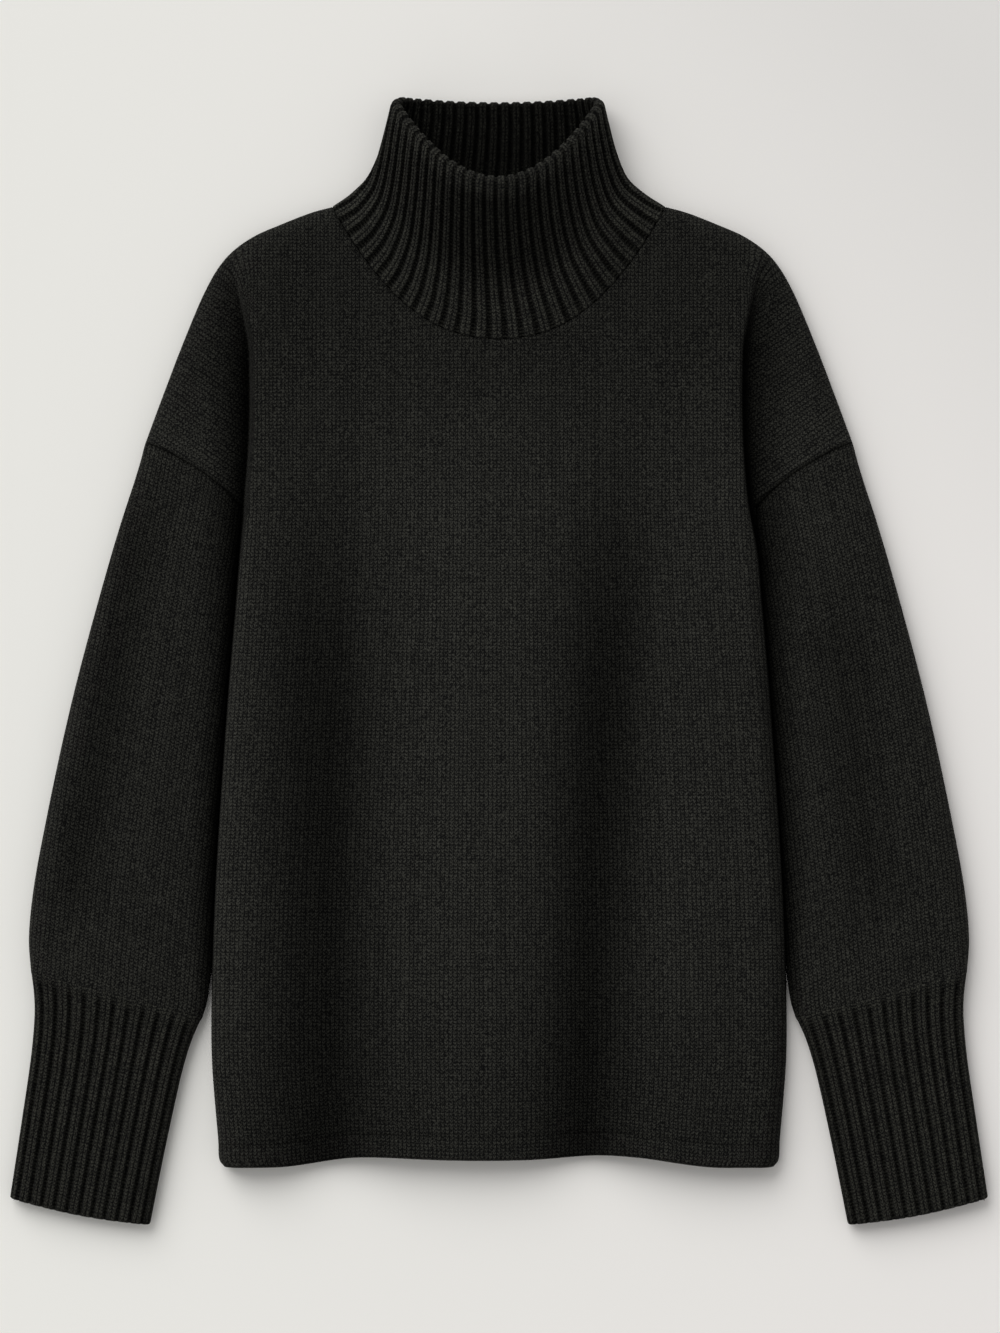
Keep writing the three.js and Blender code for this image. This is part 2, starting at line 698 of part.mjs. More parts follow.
function collarPlace(h, around) {
  const step = 0.002;
  const point = collarPoint(h, around);
  const onward = collarPoint(h, (around + step) % 1).sub(collarPoint(h, (around - step + 1) % 1));
  const up = collarPoint(Math.min(h + 0.01, 1), around).sub(collarPoint(Math.max(h - 0.01, 0), around));
  const out = up.clone().cross(onward).normalize();
  const rise = onward.clone().cross(out).normalize();
  if (h === 0) {
    const tangent = new THREE.Vector2(onward.x, onward.y).normalize();
    return { point, out: alongSeam(out, tangent), rise };
  }
  return { point, out, rise };
}

function collar() {
  const shares = ribShares(COLLAR_RIBS);
  const wallAt = (h) => COLLAR_SEAM_WALL + (COLLAR_WALL - COLLAR_SEAM_WALL) * smooth(h, 0, 0.85);
  const placesAt = (h) => evenly((around) => collarPlace(h, around), shares.map((share) => share.at));
  const outerRings = COLLAR_RINGS.map((h) =>
    placesAt(h).map(({ point, out }, i) => point.addScaledVector(out, shares[i].valley ? -RIB_DEPTH : 0)),
  );
  const half = COLLAR_WALL / 2;
  for (const degrees of RIM_ANGLES) {
    const angle = (degrees * Math.PI) / 180;
    const depth = RIB_DEPTH * Math.max(Math.cos(angle / 2), 0);
    outerRings.push(
      placesAt(1).map(({ point, out, rise }, i) => {
        const radius = half - (shares[i].valley ? depth : 0);
        return point
          .addScaledVector(out, -half + radius * Math.cos(angle))
          .addScaledVector(rise, radius * Math.sin(angle));
      }),
    );
  }
  const innerRings = COLLAR_INNER_RINGS.map((h) =>
    placesAt(h).map(({ point, out }) => point.addScaledVector(out, -wallAt(h))),
  );
  return tube('collar', outerRings, innerRings, true, YARN_RIB);
}

const group = new THREE.Group();
group.name = 'turtleneck_sweater';
group.add(bodyPanel('front', 1, FRONT_COLUMNS, FRONT_ROWS, NECK_FRONT_Y, NECK_FRONT_SHARPNESS));
group.add(bodyPanel('back', -1, BACK_COLUMNS, BACK_ROWS, NECK_BACK_Y, NECK_BACK_SHARPNESS));
group.add(sleeve('sleeve_left', -1));
group.add(sleeve('sleeve_right', 1));
group.add(cuff('cuff_left', -1));
group.add(cuff('cuff_right', 1));
group.add(collar());

export default group;
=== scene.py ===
import math

import bmesh
import bpy
import numpy as np
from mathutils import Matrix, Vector


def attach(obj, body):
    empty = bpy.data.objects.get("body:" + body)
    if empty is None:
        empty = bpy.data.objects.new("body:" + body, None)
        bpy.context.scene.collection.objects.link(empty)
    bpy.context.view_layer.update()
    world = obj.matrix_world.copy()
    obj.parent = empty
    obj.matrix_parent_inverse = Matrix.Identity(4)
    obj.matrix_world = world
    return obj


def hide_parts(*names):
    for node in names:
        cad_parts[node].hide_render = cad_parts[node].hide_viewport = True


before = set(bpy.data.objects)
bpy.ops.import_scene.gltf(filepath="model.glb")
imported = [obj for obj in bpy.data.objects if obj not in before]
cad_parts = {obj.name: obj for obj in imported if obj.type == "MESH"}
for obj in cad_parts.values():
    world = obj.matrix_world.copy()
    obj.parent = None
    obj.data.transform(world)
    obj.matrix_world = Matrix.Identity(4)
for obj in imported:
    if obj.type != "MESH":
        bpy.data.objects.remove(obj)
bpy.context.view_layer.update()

# Sizes are in millimetres in the solids' frame: x across, y from the hem to the collar, z up from the table.
# In the outlines the first number is the distance from the centre line, so one half serves both sides.
WALL = 3.0

# Height of the cloth's edges, where the upper and the under cloth meet
EDGE_Z = 6.5
FRONT_EDGE_Z = 6.65
BACK_EDGE_Z = 6.35
# The two body panels part at the underarm to let the sleeve's tube in: length of the turn, and how far the
# front's edge goes up there and the back's goes down
UNDERARM_TURN = 14
UNDERARM_STACK = 3.15

# How far in from an edge the cloth comes to its full height
EDGE_ROLL = 16
SIDE_ROLL = 11
SLEEVE_INNER_ROLL = 9
WRIST_ROLL = 11
CUFF_ROLL = 10
UNDER_ROLL = 9
# Where the roll changes: y on the side below the arm, and distance below the centre on the sleeve
SIDE_ROLL_CHANGE = (40, 110)
SLEEVE_ROLL_CHANGE = (200, 280)
WRIST_ROLL_CHANGE = (180, 236)

# Gap between a sleeve and its cuff, and the lap of the sleeve's cap under the armhole
SEAM_GAP = 0.05
SEAM_LAP = 0.12
LAP_DIRECTION = (-0.56, 0.83)
# The torso's sides come out over the sleeves, and the sleeves' inner edges go in under the torso
BODY_SIDE_OUT = 0.5
BODY_SIDE_OUT_END = (90, 117)
SLEEVE_SIDE_IN = 1.35
SLEEVE_LOW_IN = 0.8
SLEEVE_LOW_FROM = (150, 250)
# Shares of the sleeve's length at which this has begun in full and starts to end
SLEEVE_IN_SPAN = (0.12, 0.86)

# Full height of the upper cloth: y, torso, sleeve, and how far out the sleeve's takes over
CLOTH_HEIGHT = np.array([
    (-430, 19.5, 13.6), (-285, 21.0, 14.6), (-235, 21.0, 16.6), (-150, 21.5, 19.5),
    (60, 20.5, 18.5), (150, 19.0, 17.5), (350, 17.5, 17.0),
])
SLEEVE_HEIGHT_OVER = (197, 227)

# Folds: x0, y0, x1, y1, reach across, rise, softness of both ends
MAIN_FOLDS = [
    (-131, 95, -132, -600, 36, -10.0, 300),
    (89, 100, 51, -600, 31, -10.5, 280),
    (-18, 150, -24, -400, 44, 3.0, 150),
    (-178, 60, -186, -400, 22, 2.4, 120),
    (151, 60, 146, -400, 34, 2.4, 150),
    (-268, 120, -322, -190, 17, -3.6, 90),
    (258, 40, 286, -190, 20, -2.4, 90),
    (-60, 246, 60, 246, 34, 3.6, 60),
]
# Small creases that only the cloth shows, same columns
FINE_FOLDS = [
    (-60, -250, -84, -400, 16, 1.1, 60),
    (20, -150, 30, -400, 18, -1.2, 90),
    (120, -230, 128, -400, 16, 0.9, 70),
    (-205, -60, -206, -340, 10, -1.3, 90),
    (176, -40, 186, -340, 12, -1.4, 90),
    (-70, 210, -150, 60, 20, -1.2, 70),
    (78, 214, 140, 90, 18, -1.1, 70),
    (-160, 316, -196, 200, 18, 1.0, 50),
    (164, 316, 198, 210, 17, 1.0, 50),
    (-238, 60, -262, -150, 16, 1.2, 70),
    (300, 20, 330, -170, 15, 1.1, 80),
    (-330, -176, -250, -226, 10, -1.2, 40),
    (-318, -206, -248, -250, 8, 0.9, 36),
    (326, -172, 256, -222, 10, -1.1, 40),
    (340, -204, 270, -246, 8, 0.9, 36),
    (-216, 132, -250, 110, 9, -1.0, 26),
    (218, 130, 254, 112, 9, -1.0, 26),
]

# The body's fold over the dropped shoulder and the sleeve: y, distance from the centre line, drop
UNDERARM_CREASE = np.array([
    (-300, 221.0, 3.0), (-256, 219.0, 6.0), (-181, 216.5, 8.0), (-30, 206.6, 9.0), (46, 200.0, 9.5),
    (80, 197.0, 9.5), (117, 191.8, 9.5), (137, 189.9, 9.5), (170, 187.7, 9.5), (200, 187.0, 9.0),
    (232, 187.4, 7.5), (262, 192.0, 5.0), (286, 197.5, 2.6), (312, 205.0, 0.0),
])
# Its step, how far outwards the cloth stays low, and its lean to the left above the underarm
CREASE_STEP = 2.4
CREASE_REACH = 15.0
CREASE_LEAN = 2.4
CREASE_LEAN_FROM = (70, 135)
# The dip on the body just inside the crease: share of the drop, place, reach, and the y where it starts
CREASE_DIP = 0.1
CREASE_DIP_PLACE = -8
CREASE_DIP_REACH = 7
CREASE_DIP_FROM = (90, 150)

# Painted shade: shares by which the cloth's colour is darkened, standing for the shade in and beside creases,
# troughs, rib valleys and seams and over some whole stretches
# Beside the crease: y, reach, share
SHADE_REACH = np.array([
    (-300, 12, 0.6), (-227, 16, 0.9), (-181, 20, 0.93), (-30, 24, 0.94), (46, 29, 0.96), (117, 36, 0.97),
    (232, 38, 0.93), (262, 34, 0.65), (286, 30, 0.35), (312, 26, 0.0),
])
# How it falls away from the crease, and where it starts on the body, across the crease's edge
SHADE_FALL = 1.15
SHADE_START = (-1.5, 0.8)
# In a trough: share at full depth, that depth, how it grows with the depth, and its width over the trough's
TROUGH_SHADE = 0.6
TROUGH_DEPTH = 10
TROUGH_POWER = 0.6
TROUGH_WIDTH = 1.12
MOST_TROUGH_SHADE = 0.9
# Over a whole stretch of cloth, and for the torso the y or the distance below the centre where it grows
CHEST_SHADE = 0.26
CHEST_FROM = (120, 260)
LOW_SHADE = 0.2
LOW_FROM = (180, 380)
SLEEVE_SHADE = 0.16
CUFF_SHADE = 0.1
CUFF_EDGE_SHADE = 0.45
CUFF_EDGE_REACH = 9
# On the right side of the torso, away from the key light
FAR_SIDE_SHADE = 0.35
FAR_SIDE_REACH = 15
FAR_SIDE_FROM = (-110, 60)
# Between ribs, between a rib's two wales, and on the collar's steep front and its inside
VALLEY_SHADE = 0.55
CUFF_VALLEY_SHARE = 0.8
FURROW_SHADE = (0.06, 0.5, 0.07)
COLLAR_STEEP_SHADE = 0.5
COLLAR_INSIDE_SHADE = 0.62
# Shares of the collar's height where the steep front starts and ends, and where it fades to the sides
STEEP_START = (0.2, 0.5)
STEEP_END = (0.84, 0.97)
STEEP_FADE = (20, 76)

# Outline of one half: distance from the centre line, y
SIDE_SEAM = [
    (208.2, -384.4), (211.8, -379.5), (213.0, -364.0), (217.8, -303.0), (218.0, -257.0),
    (215.8, -181.0), (206.0, -30.0), (199.8, 46.0), (195.3, 117.0),
]
ARMHOLE = [
    (195.3, 117.0), (207.0, 128.8), (222.7, 141.7), (239.4, 152.2), (253.8, 159.9), (268.6, 166.2),
]
SHOULDER = [
    (127.0, 345.0), (142.0, 341.0), (167.2, 331.2), (186.5, 322.6), (202.2, 311.6),
    (212.8, 299.6), (223.4, 281.0), (239.4, 243.5), (254.0, 205.5), (268.6, 166.2),
]
SLEEVE_OUTER = [
    (268.6, 166.2), (270.0, 161.5), (271.8, 154.4), (276.8, 137.6), (286.8, 107.0), (300.2, 61.6),
    (324.5, -29.6), (344.3, -120.8), (354.4, -177.0), (357.4, -212.0), (355.8, -236.0),
]
SLEEVE_INNER = [
    (195.3, 117.0), (201.4, 46.0), (207.8, -30.0), (217.6, -181.0), (220.6, -244.0), (222.3, -260.0),
    (225.5, -271.0),
]
CUFF_OUTER = [
    (355.8, -236.0), (353.6, -262.0), (355.6, -294.0), (363.3, -348.8), (372.3, -408.0),
]
CUFF_INNER = [(225.5, -271.0), (233.2, -289.0), (239.4, -309.0), (251.8, -364.0), (264.8, -428.6)]
CUFF_END_BOW = 3.0
CUFF_END_ROUND = 1.9
CUFF_END_DEPTH = 1.6

HEM_Y = -379.0
HEM_DIP = 5.4
HEM_DIP_FROM = 105
HEM_DIP_TO = 172
# Waves of the hem: x, reach, rise
HEM_LIFTS = [(-94, 40, 2.2), (80, 38, 3.4)]

NECK_HALF_WIDTH = 127
NECK_SIDE_Y = 345
NECK_FRONT_Y = 244
NECK_BACK_Y = 318

# Collar rings from the neck seam to the rim:
# share of the height, half width, side y, front y, back y, side z, front z, arch, lift
COLLAR = np.array([
    (0.0, 126.8, 345.3, 244.1, 318.1, 6.5, 22.4, 7, 0),
    (0.15, 111.5, 355.6, 262, 333, 9, 25, 16, 0),
    (0.35, 98.6, 368.4, 286, 352, 12.5, 29, 34, 0),
    (0.6, 90.4, 387, 315, 376, 16.5, 36.5, 54, 1.5),
    (0.85, 84.6, 407.5, 344, 403, 19.5, 47.5, 70, 4.0),
    (1.0, 81.4, 420.5, 359, 415.4, 21, 54.5, 78, 5.2),
])
COLLAR_WALL = 9.0
COLLAR_SEAM_WALL = 3.6
COLLAR_LIFT_REACH = 8
# Sideways place of the collar over its neck seam, a little to the left
COLLAR_SHIFT = -1.0
# The ribs' depth at the neck seam and at the rim, and the shares of the height between which it is full
COLLAR_RIBS_LOW = 0.55
COLLAR_RIBS_HIGH = 0.5
COLLAR_RIBS_FULL = (0.05, 0.88)
# The first share of the height that is lowered to lie flush with the body's neck edge, and its rise over it
COLLAR_FLUSH = 0.2
COLLAR_FLUSH_RISE = 0.6
COLLAR_UNDER_ROLL = 14
COLLAR_RIM_ROLL = 24
COLLAR_SEAM_DIP = 0.4
COLLAR_SEAM_ROUND = 2.2

COLLAR_RIBS = 50
CUFF_RIBS = 24
RIB_PITCH = 10.0
RIB_DEPTH = 2.3
RIB_FADE_IN = 12
# Half the width of the valley between two ribs, as a share of the pitch
COLLAR_VALLEY = 0.26
CUFF_VALLEY = 0.2
# Share of a valley that is its flat floor, and how far a rib's crown falls towards its sides
VALLEY_FLOOR = 0.27
CROWN_FALL = 0.5

# The knit: a rib takes three wales, and half a panel has the wales of this many millimetres at every height
WALE = RIB_PITCH / 3
COURSE = 2.7
WALE_SPAN = 218.6
# Above the hem's waves the courses are level: distances over the hem
COURSES_LEVEL = (10, 80)
# Beyond the fold over the shoulder the wales run along the armhole: the place that they turn about, and half
# the width of the turn at its least, its growth, and the y of that growth
KNIT_TURN = (187.0, 300.0)
TURN_REACH = 2
TURN_GROWTH = 22
TURN_GROWTH_FROM = (262, 300)

# The hem welt: height of the band, its rise over the cloth above, and the rounding of its lower edge
HEM_WELT = 18.0
WELT_RISE = 0.5
WELT_END = (HEM_WELT - 1.0, HEM_WELT + 1.5)
HEM_ROUND = 2.4
# Ridges and grooves along a line, and the painted shade in them: size, place away from the line, reach
WELT_GROOVE = (0.8, HEM_WELT, 1.4)
NECK_RIDGE = (0.8, 3.2, 2.0)
NECK_GROOVE = (0.3, 0, 1.3)
ARMHOLE_RIDGE = (1.2, 3.6, 2.6)
ARMHOLE_GROOVE = (1.7, 0, 1.2)
SLEEVE_CAP_GROOVE = (1.9, 0, 1.4)
WELT_SHADE = (0.25, HEM_WELT, 1.5)
NECK_SEAM_SHADE = (0.2, 0, 2.0)
ARMHOLE_SHADE = (0.35, 0, 1.3)
SLEEVE_CAP_SHADE = (0.35, 0, 1.6)
FURROW = (0.4, 0.5, 0.06)
# The seams fade out over this share of the rows at the shoulder, and the cap's groove near the tube's edges
SEAM_FADE = 0.08
CAP_GROOVE_FADE = 7

# Share of a panel's rows that lie below the armhole and the neck line
SPLIT = 0.77
# How much closer a panel's columns lie at the crease, its outer edge and its centre: amount, place, reach
CREASE_COLUMNS = (2.6, 0, 5.0)
OUTER_COLUMNS = (2.2, 0, 0.035)
CENTRE_COLUMNS = (0.5, 0, 0.03)
ROW_CROWDING = 0.75
SLEEVE_ROW_CROWDING = 0.7
SLEEVE_COLUMN_CROWDING = 0.85

# Vertices closer than this, in metres, become one: within a sheet, around a tube, between the halves
SHEET_WELD = 1e-6
TUBE_WELD = 1e-5
PIECE_WELD = 2e-5


# Rises from 0 at the start to 1 at the stop
def smooth(value, start, stop):
    k = np.clip((np.asarray(value, float) - start) / (stop - start), 0, 1)
    return k * k * (3 - 2 * k)


# A quarter of an ellipse: 0 at no distance, 1 from the reach on
def quarter(distance, reach):
    k = 1 - np.clip(distance / reach, 0, 1)
    return np.sqrt(1 - k * k)


# A bell curve: 1 at no distance, near 0 past twice the reach
def bell(distance, reach):
    return np.exp(-((distance / reach) ** 2))


# A ridge, a groove or a shade at a distance from the line that it follows
def beside_line(distance, shape):
    size, place, reach = shape
    return size * bell(distance - place, reach)


# The share of the light lost where several shares are lost at one place
def combined(*shades):
    left = 1.0
    for shade in shades:
        left = left * (1 - shade)
    return 1 - left


# A smooth curve through a table's column, without overshoot
def column_curve(keys, values, at):
    at = np.clip(at, keys[0], keys[-1])
    slopes = np.diff(values) / np.diff(keys)
    inner = np.zeros(len(keys))
    product = slopes[:-1] * slopes[1:]
    total = np.where(slopes[:-1] + slopes[1:] == 0, 1, slopes[:-1] + slopes[1:])
    inner[1:-1] = np.where(product <= 0, 0, 2 * product / total)
    inner[0], inner[-1] = slopes[0], slopes[-1]
    i = np.clip(np.searchsorted(keys, at, side="right") - 1, 0, len(keys) - 2)
    width = keys[i + 1] - keys[i]
    k = (at - keys[i]) / width
    return (
        values[i] * (1 + 2 * k) * (1 - k) ** 2
        + values[i + 1] * k * k * (3 - 2 * k)
        + width * (inner[i] * k * (1 - k) ** 2 - inner[i + 1] * k * k * (1 - k))
    )


# A centripetal curve through points, read by its share of length
class Path:
    def __init__(self, points):
        p = np.array(points, float)
        p = np.vstack([2 * p[0] - p[1], p, 2 * p[-1] - p[-2]])
        dense = []
        for i in range(1, len(p) - 2):
            chords = np.linalg.norm(np.diff(p[i - 1:i + 3], axis=0), axis=1)
            knots = np.concatenate([[0], np.cumsum(np.sqrt(chords))])
            t = np.linspace(knots[1], knots[2], 81)[:, None]
            a = [
                (knots[j + 1] - t) / (knots[j + 1] - knots[j]) * p[i - 1 + j]
                + (t - knots[j]) / (knots[j + 1] - knots[j]) * p[i + j]
                for j in range(3)
            ]
            b = [
                (knots[j + 2] - t) / (knots[j + 2] - knots[j]) * a[j]
                + (t - knots[j]) / (knots[j + 2] - knots[j]) * a[j + 1]
                for j in range(2)
            ]
            share = knots[2] - knots[1]
            c = (knots[2] - t) / share * b[0] + (t - knots[1]) / share * b[1]
            dense.append(c if i == len(p) - 3 else c[:-1])
        self.points = np.vstack(dense)
        steps = np.linalg.norm(np.diff(self.points, axis=0), axis=1)
        self.along = np.concatenate([[0], np.cumsum(steps)])
        self.along /= self.along[-1]

    def at(self, share):
        share = np.clip(share, 0, 1)
        return np.stack([np.interp(share, self.along, self.points[:, k]) for k in range(2)], axis=-1)


side_seam = Path(SIDE_SEAM)
armhole = Path(ARMHOLE)
shoulder = Path(SHOULDER)
sleeve_outer = Path(SLEEVE_OUTER)
sleeve_inner = Path(SLEEVE_INNER)
cuff_outer = Path(CUFF_OUTER)
cuff_inner = Path(CUFF_INNER)


# Distance to a line of points, and the y of the nearest place on it
def nearest(points, w, y):
    best = np.full(w.shape, 1e9)
    near_y = np.zeros(w.shape)
    for a, b in zip(points[:-1], points[1:]):
        d = b - a
        k = np.clip(((w - a[0]) * d[0] + (y - a[1]) * d[1]) / (d @ d), 0, 1)
        line_y = a[1] + k * d[1]
        distance = np.hypot(w - (a[0] + k * d[0]), y - line_y)
        closer = distance < best
        best = np.where(closer, distance, best)
        near_y = np.where(closer, line_y, near_y)
    return best, near_y


# How far a place on the side seam has come into the turn at the underarm
def in_turn(y):
    return smooth(y, SIDE_SEAM[-1][1] - UNDERARM_TURN, SIDE_SEAM[-1][1])


def side_roll(y):
    return SIDE_ROLL + (EDGE_ROLL - SIDE_ROLL) * smooth(y, *SIDE_ROLL_CHANGE)


def sleeve_inner_roll(y):
    at_ends = np.maximum(smooth(y, *SIDE_ROLL_CHANGE), smooth(-y, *SLEEVE_ROLL_CHANGE))
    return SLEEVE_INNER_ROLL + (EDGE_ROLL - SLEEVE_INNER_ROLL) * at_ends


def sleeve_outer_roll(y):
    return EDGE_ROLL - (EDGE_ROLL - WRIST_ROLL) * smooth(-y, *WRIST_ROLL_CHANGE)


# A value that is the same at every y
def steady(value):
    return lambda y: value + 0 * y


# Edges: path, roll of the upper cloth there, height of the upper and of the under cloth's edge
TORSO_EDGES = [
    (
        side_seam,
        side_roll,
        lambda y: FRONT_EDGE_Z + UNDERARM_STACK * in_turn(y),
        lambda y: BACK_EDGE_Z - UNDERARM_STACK * in_turn(y),
    ),
    (shoulder, steady(EDGE_ROLL), steady(FRONT_EDGE_Z), steady(BACK_EDGE_Z)),
]
SLEEVE_EDGES = [
    (sleeve_inner, sleeve_inner_roll, steady(EDGE_Z), steady(EDGE_Z)),
    (sleeve_outer, sleeve_outer_roll, steady(EDGE_Z), steady(EDGE_Z)),
]
CUFF_EDGES = [
    (cuff_inner, steady(CUFF_ROLL), steady(EDGE_Z), steady(EDGE_Z)),
    (cuff_outer, steady(CUFF_ROLL), steady(EDGE_Z), steady(EDGE_Z)),
]


# Height that a table of folds adds
def fold_rise(x, y, folds):
    rise = np.zeros(x.shape)
    for x0, y0, x1, y1, reach, height, ease in folds:
        dx, dy = x1 - x0, y1 - y0
        length = math.hypot(dx, dy)
        along = ((x - x0) * dx + (y - y0) * dy) / length
        across = ((x - x0) * dy - (y - y0) * dx) / length
        ends = smooth(along, -ease / 2, ease / 2) * smooth(length - along, -ease / 2, ease / 2)
        rise += height * ends * bell(across, reach)
    return rise


# How far a place lies outside the underarm crease
def beyond_crease(x, y):
    place = column_curve(UNDERARM_CREASE[:, 0], UNDERARM_CREASE[:, 1], y)
    return np.abs(x) - (place - CREASE_LEAN * np.sign(x) * smooth(y, *CREASE_LEAN_FROM))


# How far the cloth outside the underarm crease lies below the body
def crease_drop(x, y):
    drop = column_curve(UNDERARM_CREASE[:, 0], UNDERARM_CREASE[:, 2], y)
    outside = beyond_crease(x, y)
    fall = smooth(outside, -CREASE_STEP, CREASE_STEP * 0.5) * np.exp(-np.maximum(outside, 0) / CREASE_REACH)
    dip = CREASE_DIP * bell(outside - CREASE_DIP_PLACE, CREASE_DIP_REACH)
    return drop * (fall - dip * smooth(y, *CREASE_DIP_FROM))


# Share of painted shade, darkening the colour, that a place takes beside the crease, in the troughs, on the
# chest and near the hem
def crease_shade(x, y, on_body):
    reach = column_curve(SHADE_REACH[:, 0], SHADE_REACH[:, 1], y)
    strength = column_curve(SHADE_REACH[:, 0], SHADE_REACH[:, 2], y)
    outside = beyond_crease(x, y)
    near = np.clip(1 - np.maximum(outside, 0) / reach, 0, 1) ** SHADE_FALL
    away = SLEEVE_SHADE
    if on_body:
        near = near * smooth(outside, *SHADE_START)
        away = CHEST_SHADE * smooth(y, *CHEST_FROM) + LOW_SHADE * smooth(-y, *LOW_FROM)
    troughs = []
    for *line, width, rise, ease in MAIN_FOLDS:
        if rise < 0:
            share = TROUGH_SHADE * (-rise / TROUGH_DEPTH) ** TROUGH_POWER
            troughs.append((*line, width * TROUGH_WIDTH, share, ease))
    in_trough = np.clip(fold_rise(x, y, troughs), 0, MOST_TROUGH_SHADE)
    return combined(strength * near, in_trough, away)


def cloth_height(x, y):
    on_sleeve = smooth(np.abs(x), *SLEEVE_HEIGHT_OVER)
    torso = column_curve(CLOTH_HEIGHT[:, 0], CLOTH_HEIGHT[:, 1], y)
    sleeve = column_curve(CLOTH_HEIGHT[:, 0], CLOTH_HEIGHT[:, 2], y)
    level = torso + (sleeve - torso) * on_sleeve
    return level + fold_rise(x, y, MAIN_FOLDS + FINE_FOLDS) - crease_drop(x, y)


# Height of the upper cloth (face 1) or the under cloth (face -1) over the table
def cloth_z(edges, x, y, face):
    w = np.abs(x)
    found = [nearest(edge[0].points[::4], w, y) for edge in edges]
    first = found[0][0] <= found[1][0]
    distance, near_y = (np.where(first, found[0][k], found[1][k]) for k in (0, 1))
    roll, upper, under = (np.where(first, edges[0][k](near_y), edges[1][k](near_y)) for k in (1, 2, 3))
    if face > 0:
        return upper + (cloth_height(x, y) - upper) * quarter(distance, roll)
    return under * (1 - quarter(distance, UNDER_ROLL))


def hem_line(x):
    y = HEM_Y - HEM_DIP * smooth(np.abs(x), HEM_DIP_FROM, HEM_DIP_TO)
    for at, reach, rise in HEM_LIFTS:
        y = y + rise * bell(x - at, reach)
    return y


def neck_line(front_y, sharpness):
    k = np.linspace(0, 1, 25)
    return Path(np.stack([NECK_HALF_WIDTH * k, front_y + (NECK_SIDE_Y - front_y) * k ** sharpness], axis=-1))


# Wale and course places on a half of the body, in millimetres: upright, and turned beyond the fold
def knit_place(x, w, y, face):
    width = np.interp(y, side_seam.points[:, 1], side_seam.points[:, 0])
    upright = w * WALE_SPAN / width
    level = y - (hem_line(x) - HEM_Y) * (1 - smooth(y - HEM_Y, *COURSES_LEVEL))
    if face < 0:
        return upright, level
    along = np.array(ARMHOLE[-1]) - np.array(ARMHOLE[0])
    along /= np.linalg.norm(along)
    meet_w, meet_y = KNIT_TURN
    slanted = (w - meet_w) * along[1] - (y - meet_y) * along[0] + meet_w * WALE_SPAN / SIDE_SEAM[-1][0]
    outward = (w - meet_w) * along[0] + (y - meet_y) * along[1] + meet_y
    crease = column_curve(UNDERARM_CREASE[:, 0], UNDERARM_CREASE[:, 1], y)
    reach = TURN_REACH + TURN_GROWTH * smooth(y, *TURN_GROWTH_FROM)
    turned = smooth(w - crease, -reach, reach)
    return upright + (slanted - upright) * turned, level + (outward - level) * turned


# A four-sided patch blended between its boundary curves, where s and t are arrays of the same shape
def patch(low, high, near, far, s, t):
    zero, one = np.zeros(1), np.ones(1)
    p00, p10, p01, p11 = low(zero)[0], low(one)[0], high(zero)[0], high(one)[0]
    s1, t1 = s[..., None], t[..., None]
    return (
        (1 - s1) * near(t) + s1 * far(t) + (1 - t1) * low(s) + t1 * high(s)
        - ((1 - s1) * (1 - t1) * p00 + s1 * (1 - t1) * p10 + (1 - s1) * t1 * p01 + s1 * t1 * p11)
    )


# Values from 0 to 1 that lie closer together towards both ends
def crowded(count, amount):
    k = np.linspace(0, 1, count)
    return k - amount * np.sin(2 * math.pi * k) / (2 * math.pi)


# Places along a line that lie closer where the density is higher
def place_by_density(line, density, count):
    total = np.concatenate([[0], np.cumsum((density[1:] + density[:-1]) / 2 * np.diff(line))])
    return np.interp(np.linspace(0, total[-1], count), total, line)


# Running length of a grid of points along one of its axes
def length_along(points, axis):
    steps = np.linalg.norm(np.diff(points, axis=axis), axis=-1)
    pad = [(0, 0)] * steps.ndim
    pad[axis] = (1, 0)
    return np.pad(np.cumsum(steps, axis=axis), pad)


# Shares of a parameter that are evenly spaced along each row of a sampled section
def even_rows(section, parameter, shares):
    length = length_along(section, 1)
    length /= length[:, -1:]
    return np.stack([np.interp(shares, length[i], parameter) for i in range(len(section))])


# Outward directions of a tube's grid, with a row and a column at which outwards is up
def tube_normals(points, row, column):
    around = np.roll(points[:, :-1], -1, axis=1) - np.roll(points[:, :-1], 1, axis=1)
    around = np.concatenate([around, around[:, :1]], axis=1)
    out = np.cross(around, np.gradient(points, axis=0))
    out = out / np.maximum(np.linalg.norm(out, axis=-1, keepdims=True), 1e-9)
    return -out if out[row, column][2] < 0 else out


# A create_grid mesh whose vertices are moved to a grid of points, with its UV in millimetres and its painted
# shade
def grid_mesh(name, points, uv, painted_shade, weld):
    rows, columns = points.shape[:2]
    bm = bmesh.new()
    bmesh.ops.create_grid(bm, x_segments=columns - 1, y_segments=rows - 1, size=1.0, calc_uvs=False)
    uv_layer = bm.loops.layers.uv.new("knit")
    painted_shade_layer = bm.verts.layers.float.new("painted_shade")
    flat_painted_shade = np.broadcast_to(painted_shade, (rows, columns)).reshape(-1)
    flat_points = points.reshape(-1, 3) * 0.001
    flat_uv = uv.reshape(-1, 2)
    for vertex in bm.verts:
        i = int(round((vertex.co.x + 1) / 2 * (columns - 1)))
        j = int(round((vertex.co.y + 1) / 2 * (rows - 1)))
        k = j * columns + i
        vertex.co = flat_points[k]
        vertex[painted_shade_layer] = float(flat_painted_shade[k])
        for loop in vertex.link_loops:
            loop[uv_layer].uv = flat_uv[k]
    bmesh.ops.remove_doubles(bm, verts=bm.verts, dist=weld)
    bmesh.ops.recalc_face_normals(bm, faces=bm.faces)
    mesh = bpy.data.meshes.new(name)
    bm.to_mesh(mesh)
    bm.free()
    mesh.polygons.foreach_set("use_smooth", [True] * len(mesh.polygons))
    return mesh


